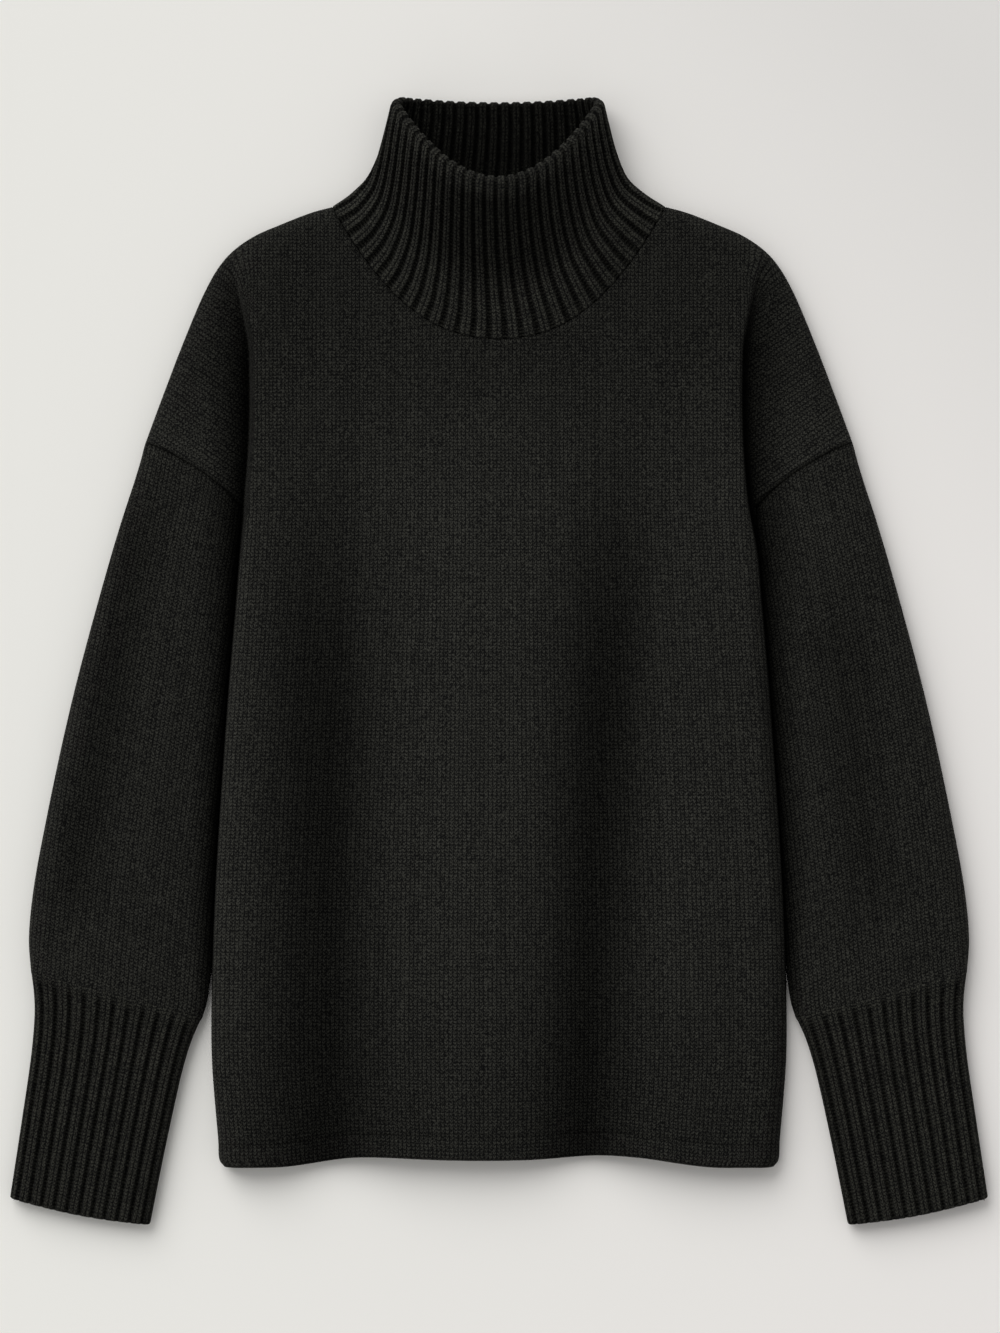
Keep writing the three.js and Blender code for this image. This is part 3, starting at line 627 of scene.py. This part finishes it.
# Joins meshes into a piece of cloth that replaces a node. The face nearest to a place, in metres, points up
# where out_z is 1 and down where it is -1.
def make_piece(name, meshes, material, node, thickness, place, out_z):
    bm = bmesh.new()
    for mesh in meshes:
        bm.from_mesh(mesh)
        bpy.data.meshes.remove(mesh)
    bmesh.ops.remove_doubles(bm, verts=bm.verts, dist=PIECE_WELD)
    bmesh.ops.recalc_face_normals(bm, faces=bm.faces)
    place = Vector(place)
    face = min(bm.faces, key=lambda f: (f.calc_center_median() - place).length)
    if face.normal.z * out_z < 0:
        bmesh.ops.reverse_faces(bm, faces=bm.faces)
    mesh = bpy.data.meshes.new(name)
    bm.to_mesh(mesh)
    bm.free()
    mesh.materials.append(material)
    piece = bpy.data.objects.new(name, mesh)
    bpy.context.scene.collection.objects.link(piece)
    if thickness:
        wall = piece.modifiers.new("cloth_wall", "SOLIDIFY")
        wall.thickness = thickness * 0.001
        wall.offset = -1
        wall.use_even_offset = False
    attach(piece, "root")
    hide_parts(node)
    return piece


# A colour's sRGB hex value as linear red, green, blue and alpha
def srgb(code):
    channels = [int(code[i:i + 2], 16) / 255 for i in (1, 3, 5)]
    return [c / 12.92 if c <= 0.04045 else ((c + 0.055) / 1.055) ** 2.4 for c in channels] + [1.0]


# Adds a node with its settings and its inputs, values or other nodes' outputs, and returns one of its outputs
def add_node(tree, kind, inputs=(), output=0, **settings):
    node = tree.nodes.new("ShaderNode" + kind)
    for key, value in settings.items():
        setattr(node, key, value)
    for key, value in inputs.items() if isinstance(inputs, dict) else enumerate(inputs):
        if isinstance(value, bpy.types.NodeSocket):
            tree.links.new(value, node.inputs[key])
        else:
            node.inputs[key].default_value = value
    return node.outputs[output]


# Noise of the knit: size in millimetres, detail. The fleck stands for single fibres, which are too fine to
# show, so it is drawn as coarse as the picture needs.
KNIT_NOISES = {
    "wale wander": (9.0, 1.0),
    "course wander": (2.6, 1.0),
    "fuzz": (0.7, 3.0),
    "fleck": (1.05, 0.0),
    "patch": (38, 1.0),
}
# Millimetres that the stitches wander, the fuzz's height over a stitch's, and the stitches' relief in metres
WANDER = 0.9
FUZZ = 0.45
STITCH_RELIEF = 0.0007
# Wales and courses are counted from here, so that no count is negative and a wale lies on the centre line
WALE_START = 1000.5
COURSE_START = 1000.0
# Lean of a stitch's two legs, in courses, and how far the height falls towards the gap between two wales
LEG_LEAN = -0.62
WALE_FALL = -0.66
# Least height of the legs and of the loops, and height of the purl bars
LEG_LOW = 0.75
LOOP_LOW = 0.28
PURL_HEIGHT = 0.7
# The tone between the yarn's dark and its light: a base and the stitch's share, then the spread of each noise
BASE_TONE = -0.34
STITCH_TONE = 1.1
FLECK_TONE = 1.75
WALE_TONE = 0.09
LOOP_TONE = 0.2
PATCH_TONE = 0.11
# Wool scatters light with hardly any gloss and a faint bloom of fibre ends
WOOL_ROUGHNESS = 0.92
WOOL_GLOSS = 0.1
WOOL_BLOOM = 0.022
BLOOM_ROUGHNESS = 0.5


# Rises from 0 to 1 and falls back as a value goes from 0 to 1
def hump(tree, value):
    centred = add_node(tree, "Math", (value, 2.0, -1.0), operation="MULTIPLY_ADD")
    square = add_node(tree, "Math", (centred, centred), operation="MULTIPLY")
    return add_node(tree, "Math", (square, -1.0, 1.0), operation="MULTIPLY_ADD")


# Height of the V stitches, 0 to 1, and in a rib of the purl bars in every third wale
def stitch_height(tree, wale, course, ribbed):
    leg = add_node(tree, "Math", (wale,), operation="FRACT")
    leg = add_node(tree, "Math", (leg, 2.0, -1.0), operation="MULTIPLY_ADD")
    leg = add_node(tree, "Math", (leg,), operation="ABSOLUTE")
    slanted = add_node(tree, "Math", (leg, LEG_LEAN, course), operation="MULTIPLY_ADD")
    slanted = add_node(tree, "Math", (slanted,), operation="FRACT")
    square = add_node(tree, "Math", (leg, leg), operation="MULTIPLY")
    ridge = add_node(tree, "Math", (square, WALE_FALL, 1.0), operation="MULTIPLY_ADD")
    legs = add_node(tree, "Math", (hump(tree, leg), 1 - LEG_LOW, LEG_LOW), operation="MULTIPLY_ADD")
    loops = add_node(tree, "Math", (hump(tree, slanted), 1 - LOOP_LOW, LOOP_LOW), operation="MULTIPLY_ADD")
    stitch = add_node(tree, "Math", (ridge, legs), operation="MULTIPLY")
    stitch = add_node(tree, "Math", (stitch, loops), operation="MULTIPLY")
    if not ribbed:
        return stitch
    third = add_node(tree, "Math", (wale,), operation="FLOOR")
    third = add_node(tree, "Math", (third, 3.0), operation="DIVIDE")
    third = add_node(tree, "Math", (third,), operation="FRACT")
    from_purl = add_node(tree, "Math", (third, 1 / 3), operation="SUBTRACT")
    from_purl = add_node(tree, "Math", (from_purl,), operation="ABSOLUTE")
    purl = add_node(tree, "Math", (from_purl, 0.1), operation="LESS_THAN")
    bars = hump(tree, add_node(tree, "Math", (course,), operation="FRACT"))
    bars = add_node(tree, "Math", (bars, PURL_HEIGHT), operation="MULTIPLY")
    return add_node(tree, "Mix", {0: purl, 2: stitch, 3: bars}, data_type="FLOAT")


# Knitted wool: stitches in wales and courses that follow the UV, fuzzy yarn, and painted shade that takes the
# colour, gloss and sheen down where shade would fall
def knit_material(name, light, dark, ribbed):
    material = bpy.data.materials.new(name)
    material.use_nodes = True
    tree = material.node_tree
    place = add_node(tree, "TexCoord", output="Object")
    noise = {}
    for use, (size, detail) in KNIT_NOISES.items():
        inputs = {"Vector": place, "Scale": 1000 / size, "Detail": detail, "Roughness": 0.6}
        noise[use] = add_node(tree, "TexNoise", inputs)

    uv = add_node(tree, "UVMap", uv_map="knit")
    axes = (("X", "wale wander", WALE, WALE_START), ("Y", "course wander", COURSE, COURSE_START))
    counts = []
    for axis, wander, pitch, start in axes:
        shift = add_node(tree, "Math", (noise[wander], 0.5), operation="SUBTRACT")
        along = add_node(tree, "SeparateXYZ", (uv,), axis)
        along = add_node(tree, "Math", (shift, WANDER, along), operation="MULTIPLY_ADD")
        along = add_node(tree, "Math", (along, pitch), operation="DIVIDE")
        counts.append(add_node(tree, "Math", (along, start), operation="ADD"))
    wale, course = counts
    stitch = stitch_height(tree, wale, course, ribbed)
    height = add_node(tree, "Math", (noise["fuzz"], FUZZ, stitch), operation="MULTIPLY_ADD")
    bump = add_node(tree, "Bump", {"Height": height, "Distance": STITCH_RELIEF, "Strength": 1.0})

    column = add_node(tree, "Math", (wale,), operation="FLOOR")
    row = add_node(tree, "Math", (course,), operation="FLOOR")
    loop_place = add_node(tree, "CombineXYZ", (column, row, 0.0))
    wale_shade = add_node(tree, "TexWhiteNoise", {"W": column}, noise_dimensions="1D")
    loop_shade = add_node(tree, "TexWhiteNoise", (loop_place,), noise_dimensions="2D")
    tone = add_node(tree, "Math", (stitch, STITCH_TONE, BASE_TONE), operation="MULTIPLY_ADD")
    spreads = (
        (noise["fleck"], FLECK_TONE),
        (wale_shade, WALE_TONE),
        (loop_shade, LOOP_TONE),
        (noise["patch"], PATCH_TONE),
    )
    for shade, amount in spreads:
        shade = add_node(tree, "Math", (shade, 0.5), operation="SUBTRACT")
        tone = add_node(tree, "Math", (shade, amount, tone), operation="MULTIPLY_ADD")
    colour = add_node(tree, "Mix", {0: tone, 6: dark, 7: light}, 2, data_type="RGBA")
    # Painted shade: the stored share takes the colour towards black where creases, troughs, rib valleys and
    # seams would lie in shade
    painted_shade = add_node(tree, "Attribute", output="Fac", attribute_name="painted_shade")
    colour = add_node(tree, "Mix", {0: painted_shade, 6: colour, 7: srgb("#000000")}, 2, data_type="RGBA")

    shader = tree.nodes["Principled BSDF"]
    # The painted shade also takes away the gloss and the sheen
    unshaded_share = add_node(tree, "Math", (1.0, painted_shade), operation="SUBTRACT")
    for socket, amount in (("Specular IOR Level", WOOL_GLOSS), ("Sheen Weight", WOOL_BLOOM)):
        share = add_node(tree, "Math", (unshaded_share, amount), operation="MULTIPLY")
        tree.links.new(share, shader.inputs[socket])
    shader.inputs["Roughness"].default_value = WOOL_ROUGHNESS
    shader.inputs["Sheen Roughness"].default_value = BLOOM_ROUGHNESS
    shader.inputs["Sheen Tint"].default_value = srgb("#d8d5cc")
    tree.links.new(colour, shader.inputs["Base Color"])
    tree.links.new(bump, shader.inputs["Normal"])
    return material


# Plain-knitted wool of the body and the sleeves: near-black and matt, with a fine grain of grey V stitches
body_knit = knit_material("plain_wool_knit", srgb("#383833"), srgb("#060606"), False)
# Rib-knitted wool of the cuffs and the collar: the same yarn, in long wales with purl bars between them
rib_knit = knit_material("rib_wool_knit", srgb("#373731"), srgb("#060606"), True)


# Sides of a half panel, each read by its share: hem, shoulder, centre line with the neck, outer edge
def panel_sides(side, neck, neck_y):
    def hem(k):
        return np.stack([k * SIDE_SEAM[0][0], hem_line(side * k * SIDE_SEAM[0][0])], axis=-1)

    def middle(k):
        up = hem_line(np.zeros(1))[0]
        low = np.stack([0 * k, up + (neck_y - up) * np.minimum(k / SPLIT, 1)], axis=-1)
        high = neck.at((k - SPLIT) / (1 - SPLIT))
        return np.where((k > SPLIT)[..., None], high, low)

    def outside(k):
        high = armhole.at((k - SPLIT) / (1 - SPLIT))
        return np.where((k > SPLIT)[..., None], high, side_seam.at(k / SPLIT))

    return hem, shoulder.at, middle, outside


# Column places of a half panel, closer at its edges and, on the front, at the underarm crease
def panel_columns(sides, t_line, columns, face):
    fine_s, fine_t = np.meshgrid(np.linspace(0, 1, 301), t_line)
    fine = patch(*sides, fine_s, fine_t)
    crease = column_curve(UNDERARM_CREASE[:, 0], UNDERARM_CREASE[:, 1], fine[..., 1])
    density = 1 + (beside_line(fine[..., 0] - crease, CREASE_COLUMNS) if face > 0 else 0)
    density = density + beside_line(1 - fine_s, OUTER_COLUMNS) + beside_line(fine_s, CENTRE_COLUMNS)
    return np.array([place_by_density(fine_s[i], density[i], columns) for i in range(len(t_line))])


def body_panel(name, face, columns, low_rows, high_rows, neck_y, sharpness, node):
    neck = neck_line(neck_y, sharpness)
    t_line = np.concatenate([
        crowded(low_rows, ROW_CROWDING) * SPLIT,
        (SPLIT + (1 - SPLIT) * crowded(high_rows, ROW_CROWDING))[1:],
    ])
    t = np.repeat(t_line[:, None], columns, axis=1)
    halves = []
    for side in (1, -1):
        sides = panel_sides(side, neck, neck_y)
        s = panel_columns(sides, t_line, columns, face)
        flat = patch(*sides, s, t)
        w, y = flat[..., 0], flat[..., 1]
        x = w * side
        z = cloth_z(TORSO_EDGES, x, y, face)
        x = x + side * BODY_SIDE_OUT * smooth(s, 0.9, 1) * (1 - smooth(y, *BODY_SIDE_OUT_END))
        shade = 0.0
        if face > 0:
            up = length_along(flat, 0)
            to_neck = nearest(neck.points[::6], w, y)[0]
            to_armhole = nearest(armhole.points[::6], w, y)[0]
            to_side = nearest(side_seam.points[::6], w, y)[0]
            z -= HEM_ROUND * (1 - quarter(up, HEM_ROUND))
            z += WELT_RISE * (1 - smooth(up, *WELT_END))
            z -= beside_line(up, WELT_GROOVE)
            seams = beside_line(to_neck, NECK_RIDGE) - beside_line(to_neck, NECK_GROOVE)
            seams += beside_line(to_armhole, ARMHOLE_RIDGE) - beside_line(to_armhole, ARMHOLE_GROOVE)
            z += seams * smooth((1 - t) / (1 - SPLIT), 0, SEAM_FADE)
            # Painted shade along the hem welt, the neck seam and the armhole seam, and on the torso's right
            # side away from the key light
            line = beside_line(up, WELT_SHADE) + beside_line(to_neck, NECK_SEAM_SHADE)
            line = line + beside_line(to_armhole, ARMHOLE_SHADE)
            far_side = FAR_SIDE_SHADE * np.exp(-to_side / FAR_SIDE_REACH)
            far_side = far_side * (x > 0) * smooth(-y, *FAR_SIDE_FROM)
            shade = combined(crease_shade(x, y, True), line, far_side)
        across, along = knit_place(x, w, y, face)
        uv = np.stack([side * across, along], axis=-1)
        halves.append(grid_mesh("half", np.stack([x, y, z], axis=-1), uv, shade, SHEET_WELD))
    place = (0.0, -0.1, 0.02 if face > 0 else 0.0)
    return make_piece(name, halves, body_knit, node, WALL, place, face)


# Sides of a sleeve's flat outline: armhole, wrist, inner edge moved in under the body, outer edge
def sleeve_cap(k):
    lap = SEAM_LAP * np.sin(math.pi * np.clip(k * 3, 0, 0.5)) * np.sin(math.pi * np.clip(3 - k * 3, 0, 0.5))
    return armhole.at(k) + np.array(LAP_DIRECTION) * lap[..., None]


def sleeve_wrist(k):
    inner, outer = sleeve_inner.at(np.ones(1))[0], sleeve_outer.at(np.ones(1))[0]
    return inner + (outer - inner) * k[..., None]


def sleeve_inside(k):
    place = sleeve_inner.at(k)
    closer = SLEEVE_SIDE_IN + SLEEVE_LOW_IN * smooth(-place[..., 1], *SLEEVE_LOW_FROM)
    closer = closer * smooth(k, 0, SLEEVE_IN_SPAN[0]) * (1 - smooth(k, SLEEVE_IN_SPAN[1], 1))
    return place - np.stack([closer, 0 * closer], axis=-1)


# A sleeve: a tube of an upper and an under sheet, joined at both edges
def sleeve(name, side, node):
    rows, upper_columns, under_columns = 170, 76, 44
    t_line = crowded(rows, SLEEVE_ROW_CROWDING)
    sheets = []
    for columns, face in ((upper_columns, 1), (under_columns, -1)):
        s_line = crowded(columns, SLEEVE_COLUMN_CROWDING)
        s, t = np.meshgrid(s_line[::face], t_line)
        flat = patch(sleeve_cap, sleeve_wrist, sleeve_inside, sleeve_outer.at, s, t)
        x, y = flat[..., 0] * side, flat[..., 1]
        plain = patch(sleeve_cap, sleeve_wrist, sleeve_inner.at, sleeve_outer.at, s, t)
        z = cloth_z(SLEEVE_EDGES, plain[..., 0] * side, plain[..., 1], face)
        down = length_along(flat, 0)
        width = np.linalg.norm(flat[:, -1] - flat[:, 0], axis=-1)[:, None]
        from_edge = np.minimum(s, 1 - s) * width
        z -= face * beside_line(down, SLEEVE_CAP_GROOVE) * smooth(from_edge, 0, CAP_GROOVE_FADE)
        across = (s - 0.5) * width if face > 0 else (1.5 - s) * width
        shade = 0 * x
        if face > 0:
            # Painted shade beside the crease, in the troughs, over the sleeve and along the armhole seam
            shade = combined(crease_shade(x, y, False), beside_line(down, SLEEVE_CAP_SHADE))
        sheets.append((np.stack([x, y, z], axis=-1), np.stack([side * across, -down], axis=-1), shade))
    points, uv, painted_shade = (np.concatenate([upper, under[:, 1:]], axis=1) for upper, under in zip(*sheets))
    points[:, -1] = points[:, 0]
    mesh = grid_mesh("tube", points, uv, painted_shade, TUBE_WELD)
    return make_piece(name, [mesh], body_knit, node, WALL, (side * 0.27, 0, 0.02), 1)


# Depth below the crests at a share of the pitch: a valley, then two wales with a furrow between them
def rib_relief(phase, valley_span):
    from_valley = np.minimum(phase, 1 - phase)
    valley = RIB_DEPTH * (1 - smooth(from_valley, VALLEY_FLOOR * valley_span, valley_span))
    furrow = beside_line(phase, FURROW)
    crown = CROWN_FALL * (np.abs(phase - 0.5) / 0.5) ** 2
    return valley + (furrow + crown)


# Share of painted shade between the ribs, and a little of it between their two wales, where the valleys would
# lie in shade
def rib_shade(phase, valley_span):
    furrow = beside_line(phase, FURROW_SHADE)
    return VALLEY_SHADE * np.clip(rib_relief(phase, valley_span) / RIB_DEPTH, 0, 1) + furrow


# The crests' surface of a cuff: share of the way round, from the inner edge over the top, and of its length
def cuff_surface(side, around, t):
    along = np.array(CUFF_INNER[-1]) - np.array(CUFF_INNER[0])
    length = np.linalg.norm(along)
    face = np.where(around <= 0.5, 1, -1)
    s = np.where(around <= 0.5, around * 2, 2 - around * 2)
    inner, outer = cuff_inner.at(t), cuff_outer.at(t)
    flat = inner + (outer - inner) * s[..., None] + along * (SEAM_GAP / length * (1 - t))[..., None]
    flat[..., 1] -= CUFF_END_BOW * t * np.sin(math.pi * s)
    x, y = flat[..., 0] * side, flat[..., 1]
    z = np.where(face > 0, cloth_z(CUFF_EDGES, x, y, 1), cloth_z(CUFF_EDGES, x, y, -1))
    edge = (s < 1e-6) | (s > 1 - 1e-6)
    return np.stack([x, y, np.where(edge, EDGE_Z, z)], axis=-1)


def cuff(name, side, node):
    per_rib = 16
    # Rows along the length, closer together where the end turns in
    t_line = np.concatenate([np.linspace(0, 0.95, 62), [0.965, 0.978, 0.988, 0.995, 1.0]])
    sample = np.linspace(0, 1, 501)
    shares = np.linspace(0, 1, CUFF_RIBS * per_rib + 1)
    around = even_rows(cuff_surface(side, *np.meshgrid(sample, t_line)), sample, shares)
    t = np.repeat(t_line[:, None], len(shares), axis=1)
    points = cuff_surface(side, around, t)
    points[:, -1] = points[:, 0]
    out = tube_normals(points, len(t_line) // 2, CUFF_RIBS // 4 * per_rib)
    down = length_along(points, 0)
    grown = smooth(down, 0, RIB_FADE_IN)
    phase = (shares * CUFF_RIBS) % 1.0
    depth = rib_relief(phase, CUFF_VALLEY)[None] * grown
    depth = depth + CUFF_END_DEPTH * (1 - quarter(down[-1:] - down, CUFF_END_ROUND))
    points = points - out * depth[..., None]
    points[..., 2] = np.maximum(points[..., 2], 0.0)
    uv = np.stack([np.broadcast_to(shares * CUFF_RIBS * RIB_PITCH, t.shape), -down], axis=-1)
    from_inner = np.minimum(shares, 1 - shares) * CUFF_RIBS * RIB_PITCH
    # Painted shade in the rib valleys, along the cuff's edges and over the whole cuff
    painted_shade = combined(
        CUFF_VALLEY_SHARE * rib_shade(phase, CUFF_VALLEY) * grown,
        CUFF_EDGE_SHADE * np.exp(-from_inner / CUFF_EDGE_REACH),
        CUFF_SHADE,
    )
    mesh = grid_mesh("tube", points, uv, painted_shade, TUBE_WELD)
    return make_piece(name, [mesh], rib_knit, node, WALL, (side * 0.305, -0.35, 0.0145), 1)


# The crests' surface of the collar: share of the height, and of the way round from the right fold
def collar_surface(h, around):
    row = [column_curve(COLLAR[:, 0], COLLAR[:, k], h) for k in range(1, 9)]
    w, side_y, front_y, back_y, side_z, front_z, arch, lift = row
    angle = around * 2 * math.pi
    share = np.abs(np.cos(angle))
    from_fold = w * (1 - share)
    sharpness = 2.3 - 0.3 * h
    front = np.stack([
        w * np.cos(angle),
        side_y - (side_y - front_y) * (1 - share ** sharpness),
        side_z + (front_z - side_z) * quarter(from_fold, arch),
    ], axis=-1)
    roll = COLLAR_UNDER_ROLL + (COLLAR_RIM_ROLL - COLLAR_UNDER_ROLL) * h
    back = np.stack([
        w * np.cos(angle),
        side_y - (side_y - back_y) * (1 - share ** 2) + lift * quarter(from_fold, COLLAR_LIFT_REACH),
        side_z * (1 - quarter(from_fold, roll)),
    ], axis=-1)
    skin = np.where((np.sin(angle) >= 0)[..., None], front, back)
    skin[..., 0] += COLLAR_SHIFT * smooth(h, 0, 0.3)
    return skin


# Lowers the collar's first rings in front to the body's neck edge
def lay_on_neck(skin, h, around):
    seam = skin[0]
    body_z = cloth_z(TORSO_EDGES, seam[:, 0], seam[:, 1], 1)
    in_front = np.sin(around[0] * 2 * math.pi) > 0
    to_body = np.where(in_front, np.minimum(body_z + COLLAR_FLUSH_RISE - seam[:, 2], 0), 0)
    skin[..., 2] += to_body * (1 - smooth(h, 0, COLLAR_FLUSH))


# Rings of the half-round rim, from the outer cloth over to the inner cloth
def collar_rim(skin, out, depth):
    top = skin[-1]
    onward = np.roll(top[:-1], -1, axis=0) - np.roll(top[:-1], 1, axis=0)
    onward = np.concatenate([onward, onward[:1]])
    rise = np.cross(onward, out[-1])
    rise /= np.linalg.norm(rise, axis=-1, keepdims=True)
    rise *= np.sign(np.sum(rise * (top - skin[-4]), axis=-1, keepdims=True))
    radius = COLLAR_WALL / 2 - depth[0] * 0.5
    rings = []
    for degrees in np.linspace(0, 180, 13)[1:-1]:
        angle = math.radians(degrees)
        rings.append(
            top + out[-1] * (radius * math.cos(angle) - COLLAR_WALL / 2)[:, None]
            + rise * (radius * math.sin(angle))[:, None]
        )
    return np.array(rings)


# The collar: a double tube, its outer cloth, its rim and its inner cloth in one closed grid
def collar(name, node):
    per_rib = 14
    # Rings up the height, closer together at the neck seam
    h_line = np.concatenate([[0, 0.008, 0.018, 0.03], np.linspace(0.05, 1, 44)])
    sample = np.linspace(0, 1, 1601)
    grid_a, grid_h = np.meshgrid(sample, h_line)
    shares = np.linspace(0, 1, COLLAR_RIBS * per_rib + 1)
    around = even_rows(collar_surface(grid_h, grid_a), sample, shares)
    h = np.repeat(h_line[:, None], len(shares), axis=1)
    skin = collar_surface(h, around)
    lay_on_neck(skin, h, around)
    skin[:, -1] = skin[:, 0]
    out = tube_normals(skin, 20, int(np.argmax(skin[20, :, 2])))
    phase = (shares * COLLAR_RIBS) % 1.0
    depth = rib_relief(phase, COLLAR_VALLEY)[None]
    seam_dip = COLLAR_SEAM_DIP * (1 - quarter(length_along(skin, 0), COLLAR_SEAM_ROUND))
    kept = COLLAR_RIBS_LOW + (1 - COLLAR_RIBS_LOW) * smooth(h, 0, COLLAR_RIBS_FULL[0])
    kept = kept * (1 - COLLAR_RIBS_HIGH * smooth(h, COLLAR_RIBS_FULL[1], 1))
    outer = skin - out * (depth * kept + seam_dip)[..., None]
    wall = COLLAR_SEAM_WALL + (COLLAR_WALL - COLLAR_SEAM_WALL) * smooth(h, 0, 0.85)
    inner = skin - out * (wall - depth * kept * smooth(h, 0.3, 0.7))[..., None]
    rim = collar_rim(skin, out, depth)

    # Every second ring is enough on the inner cloth, from the rim down to the seam
    pick = np.arange(len(h_line) - 1, -1, -2)
    if pick[-1] != 0:
        pick = np.append(pick, 0)
    points = np.concatenate([outer, rim, inner[pick], outer[:1]])
    points[..., 2] = np.maximum(points[..., 2], 0.0)
    points[:, -1] = points[:, 0]
    up = length_along(points, 0)
    uv = np.stack([np.broadcast_to(shares * COLLAR_RIBS * RIB_PITCH, up.shape), up], axis=-1)

    # Painted shade in the rib valleys, on the collar's steep front, on its inside and over the rim towards
    # the inside
    valley = rib_shade(phase, COLLAR_VALLEY)[None]
    middle = 0.5 + 0.5 * (1 - smooth(np.abs(skin[..., 0]), *STEEP_FADE))
    steep = COLLAR_STEEP_SHADE * smooth(h, *STEEP_START) * (1 - smooth(h, *STEEP_END)) * middle
    outer_shade = combined(valley, steep)
    inner_shade = combined(valley, COLLAR_INSIDE_SHADE * np.ones_like(h))
    rim_share = np.linspace(0, 1, len(rim))[:, None]
    rim_shade = combined(valley * 0.9, COLLAR_INSIDE_SHADE * smooth(rim_share, 0.55, 1))
    painted_shade = np.concatenate([outer_shade, rim_shade, inner_shade[pick], outer_shade[:1]])
    mesh = grid_mesh("tube", points, uv, painted_shade, TUBE_WELD)
    return make_piece(name, [mesh], rib_knit, node, 0, (0, 0.3, 0.035), 1)


front_cloth = body_panel("front_cloth", 1, 112, 118, 72, NECK_FRONT_Y, 2.3, "front")
back_cloth = body_panel("back_cloth", -1, 50, 60, 40, NECK_BACK_Y, 2, "back")
sleeve_left_cloth = sleeve("sleeve_left_cloth", -1, "sleeve_left")
sleeve_right_cloth = sleeve("sleeve_right_cloth", 1, "sleeve_right")
cuff_left_cloth = cuff("cuff_left_cloth", -1, "cuff_left")
cuff_right_cloth = cuff("cuff_right_cloth", 1, "cuff_right")
collar_cloth = collar("collar_cloth", "collar")


# Change of the table's colour for each metre to the right, and its value at the centre: painted shade for the
# light's fall across the table
TABLE_ACROSS = (1.2, 0.5)
# The same for the upper right corner: to the right, upwards, and at the centre, painted shade that darkens
# that corner
TABLE_CORNER = (3.1, 2.7, -1.25)


# A matt painted table: a pale warm grey without gloss, with painted shade that makes it a little darker
# towards the right and the upper right corner
def table_paint_and_shade():
    material = bpy.data.materials.new("pale_table")
    material.use_nodes = True
    tree = material.node_tree
    shader = tree.nodes["Principled BSDF"]
    place = add_node(tree, "TexCoord", output="Object")
    right = add_node(tree, "SeparateXYZ", (place,), "X")
    up = add_node(tree, "SeparateXYZ", (place,), "Y")
    # Painted shade: the colour turns darker towards the right and towards the upper right corner
    across = add_node(tree, "Math", (right, *TABLE_ACROSS), operation="MULTIPLY_ADD", use_clamp=True)
    colour = add_node(tree, "Mix", {0: across, 6: srgb("#e9e8e3"), 7: srgb("#e6e3e0")}, 2, data_type="RGBA")
    rightward, upward, start = TABLE_CORNER
    corner = add_node(tree, "Math", (right, rightward, start), operation="MULTIPLY_ADD")
    corner = add_node(tree, "Math", (up, upward, corner), operation="MULTIPLY_ADD", use_clamp=True)
    colour = add_node(tree, "Mix", {0: corner, 6: colour, 7: srgb("#dcdad7")}, 2, data_type="RGBA")
    tree.links.new(colour, shader.inputs["Base Color"])
    shader.inputs["Roughness"].default_value = 0.9
    shader.inputs["Specular IOR Level"].default_value = 0.1
    return material


# Metres from here on, if no other unit is named
FLOOR_SIZE = 6.0
FLOOR_Z = -0.0006
mesh = bpy.data.meshes.new("floor")
bm = bmesh.new()
bmesh.ops.create_grid(bm, x_segments=1, y_segments=1, size=FLOOR_SIZE)
bmesh.ops.translate(bm, verts=bm.verts, vec=(0, 0, FLOOR_Z))
bm.to_mesh(mesh)
bm.free()
mesh.materials.append(table_paint_and_shade())
floor = bpy.data.objects.new("floor", mesh)
bpy.context.scene.collection.objects.link(floor)


# The key light comes from the top of the picture, a little from the left, low enough to show the folds
KEY_ANGLE = 52
KEY_ENERGY = 2.05
KEY_DIRECTION = (0.42, -0.66, -0.6)
key = bpy.data.lights.new("key_light", "SUN")
key.angle = math.radians(KEY_ANGLE)
key.energy = KEY_ENERGY
key_lamp = bpy.data.objects.new("key_light", key)
key_lamp.location = (-1.0, 2.0, 2.0)
key_lamp.rotation_euler = Vector(KEY_DIRECTION).to_track_quat("-Z", "Y").to_euler()
bpy.context.scene.collection.objects.link(key_lamp)

# The room: white light, brighter near the horizon and on the key light's side
SKY_HORIZON = 0.84
SKY_FALL = -0.52
SKY_SIDE = (-0.18, 0.16, 0.0)
world = bpy.data.worlds.new("room")
world.use_nodes = True
sky = world.node_tree
toward = add_node(sky, "TexCoord", output="Generated")
side_glow = add_node(sky, "VectorMath", (toward, SKY_SIDE), "Value", operation="DOT_PRODUCT")
upward = add_node(sky, "SeparateXYZ", (toward,), "Z")
steepness = add_node(sky, "Math", (upward, upward), operation="MULTIPLY")
glow = add_node(sky, "Math", (steepness, SKY_FALL, SKY_HORIZON), operation="MULTIPLY_ADD")
glow = add_node(sky, "Math", (glow, side_glow), operation="ADD")
sky.links.new(glow, sky.nodes["Background"].inputs["Strength"])
sky.nodes["Background"].inputs["Color"].default_value = (1.0, 1.0, 1.0, 1.0)
bpy.context.scene.world = world

# The photo's view: straight down on the flat sweater, framed by the scale of the photo
MM_PER_PIXEL = 0.76
PHOTO_PIXELS = 1333
CLOTH_LEVEL = 0.008
CAMERA_PLACE = (0.00076, -0.0042, 4.5)
# Millimetres
SENSOR_HEIGHT = 24
camera_data = bpy.data.cameras.new("camera")
camera_data.sensor_fit = "VERTICAL"
camera_data.sensor_height = SENSOR_HEIGHT
camera_data.lens = SENSOR_HEIGHT * (CAMERA_PLACE[2] - CLOTH_LEVEL) / (PHOTO_PIXELS * MM_PER_PIXEL * 0.001)
camera = bpy.data.objects.new("camera", camera_data)
camera.location = CAMERA_PLACE
bpy.context.scene.collection.objects.link(camera)
bpy.context.scene.camera = camera
bpy.context.scene.view_settings.view_transform = "Standard"
bpy.context.scene.view_settings.look = "None"
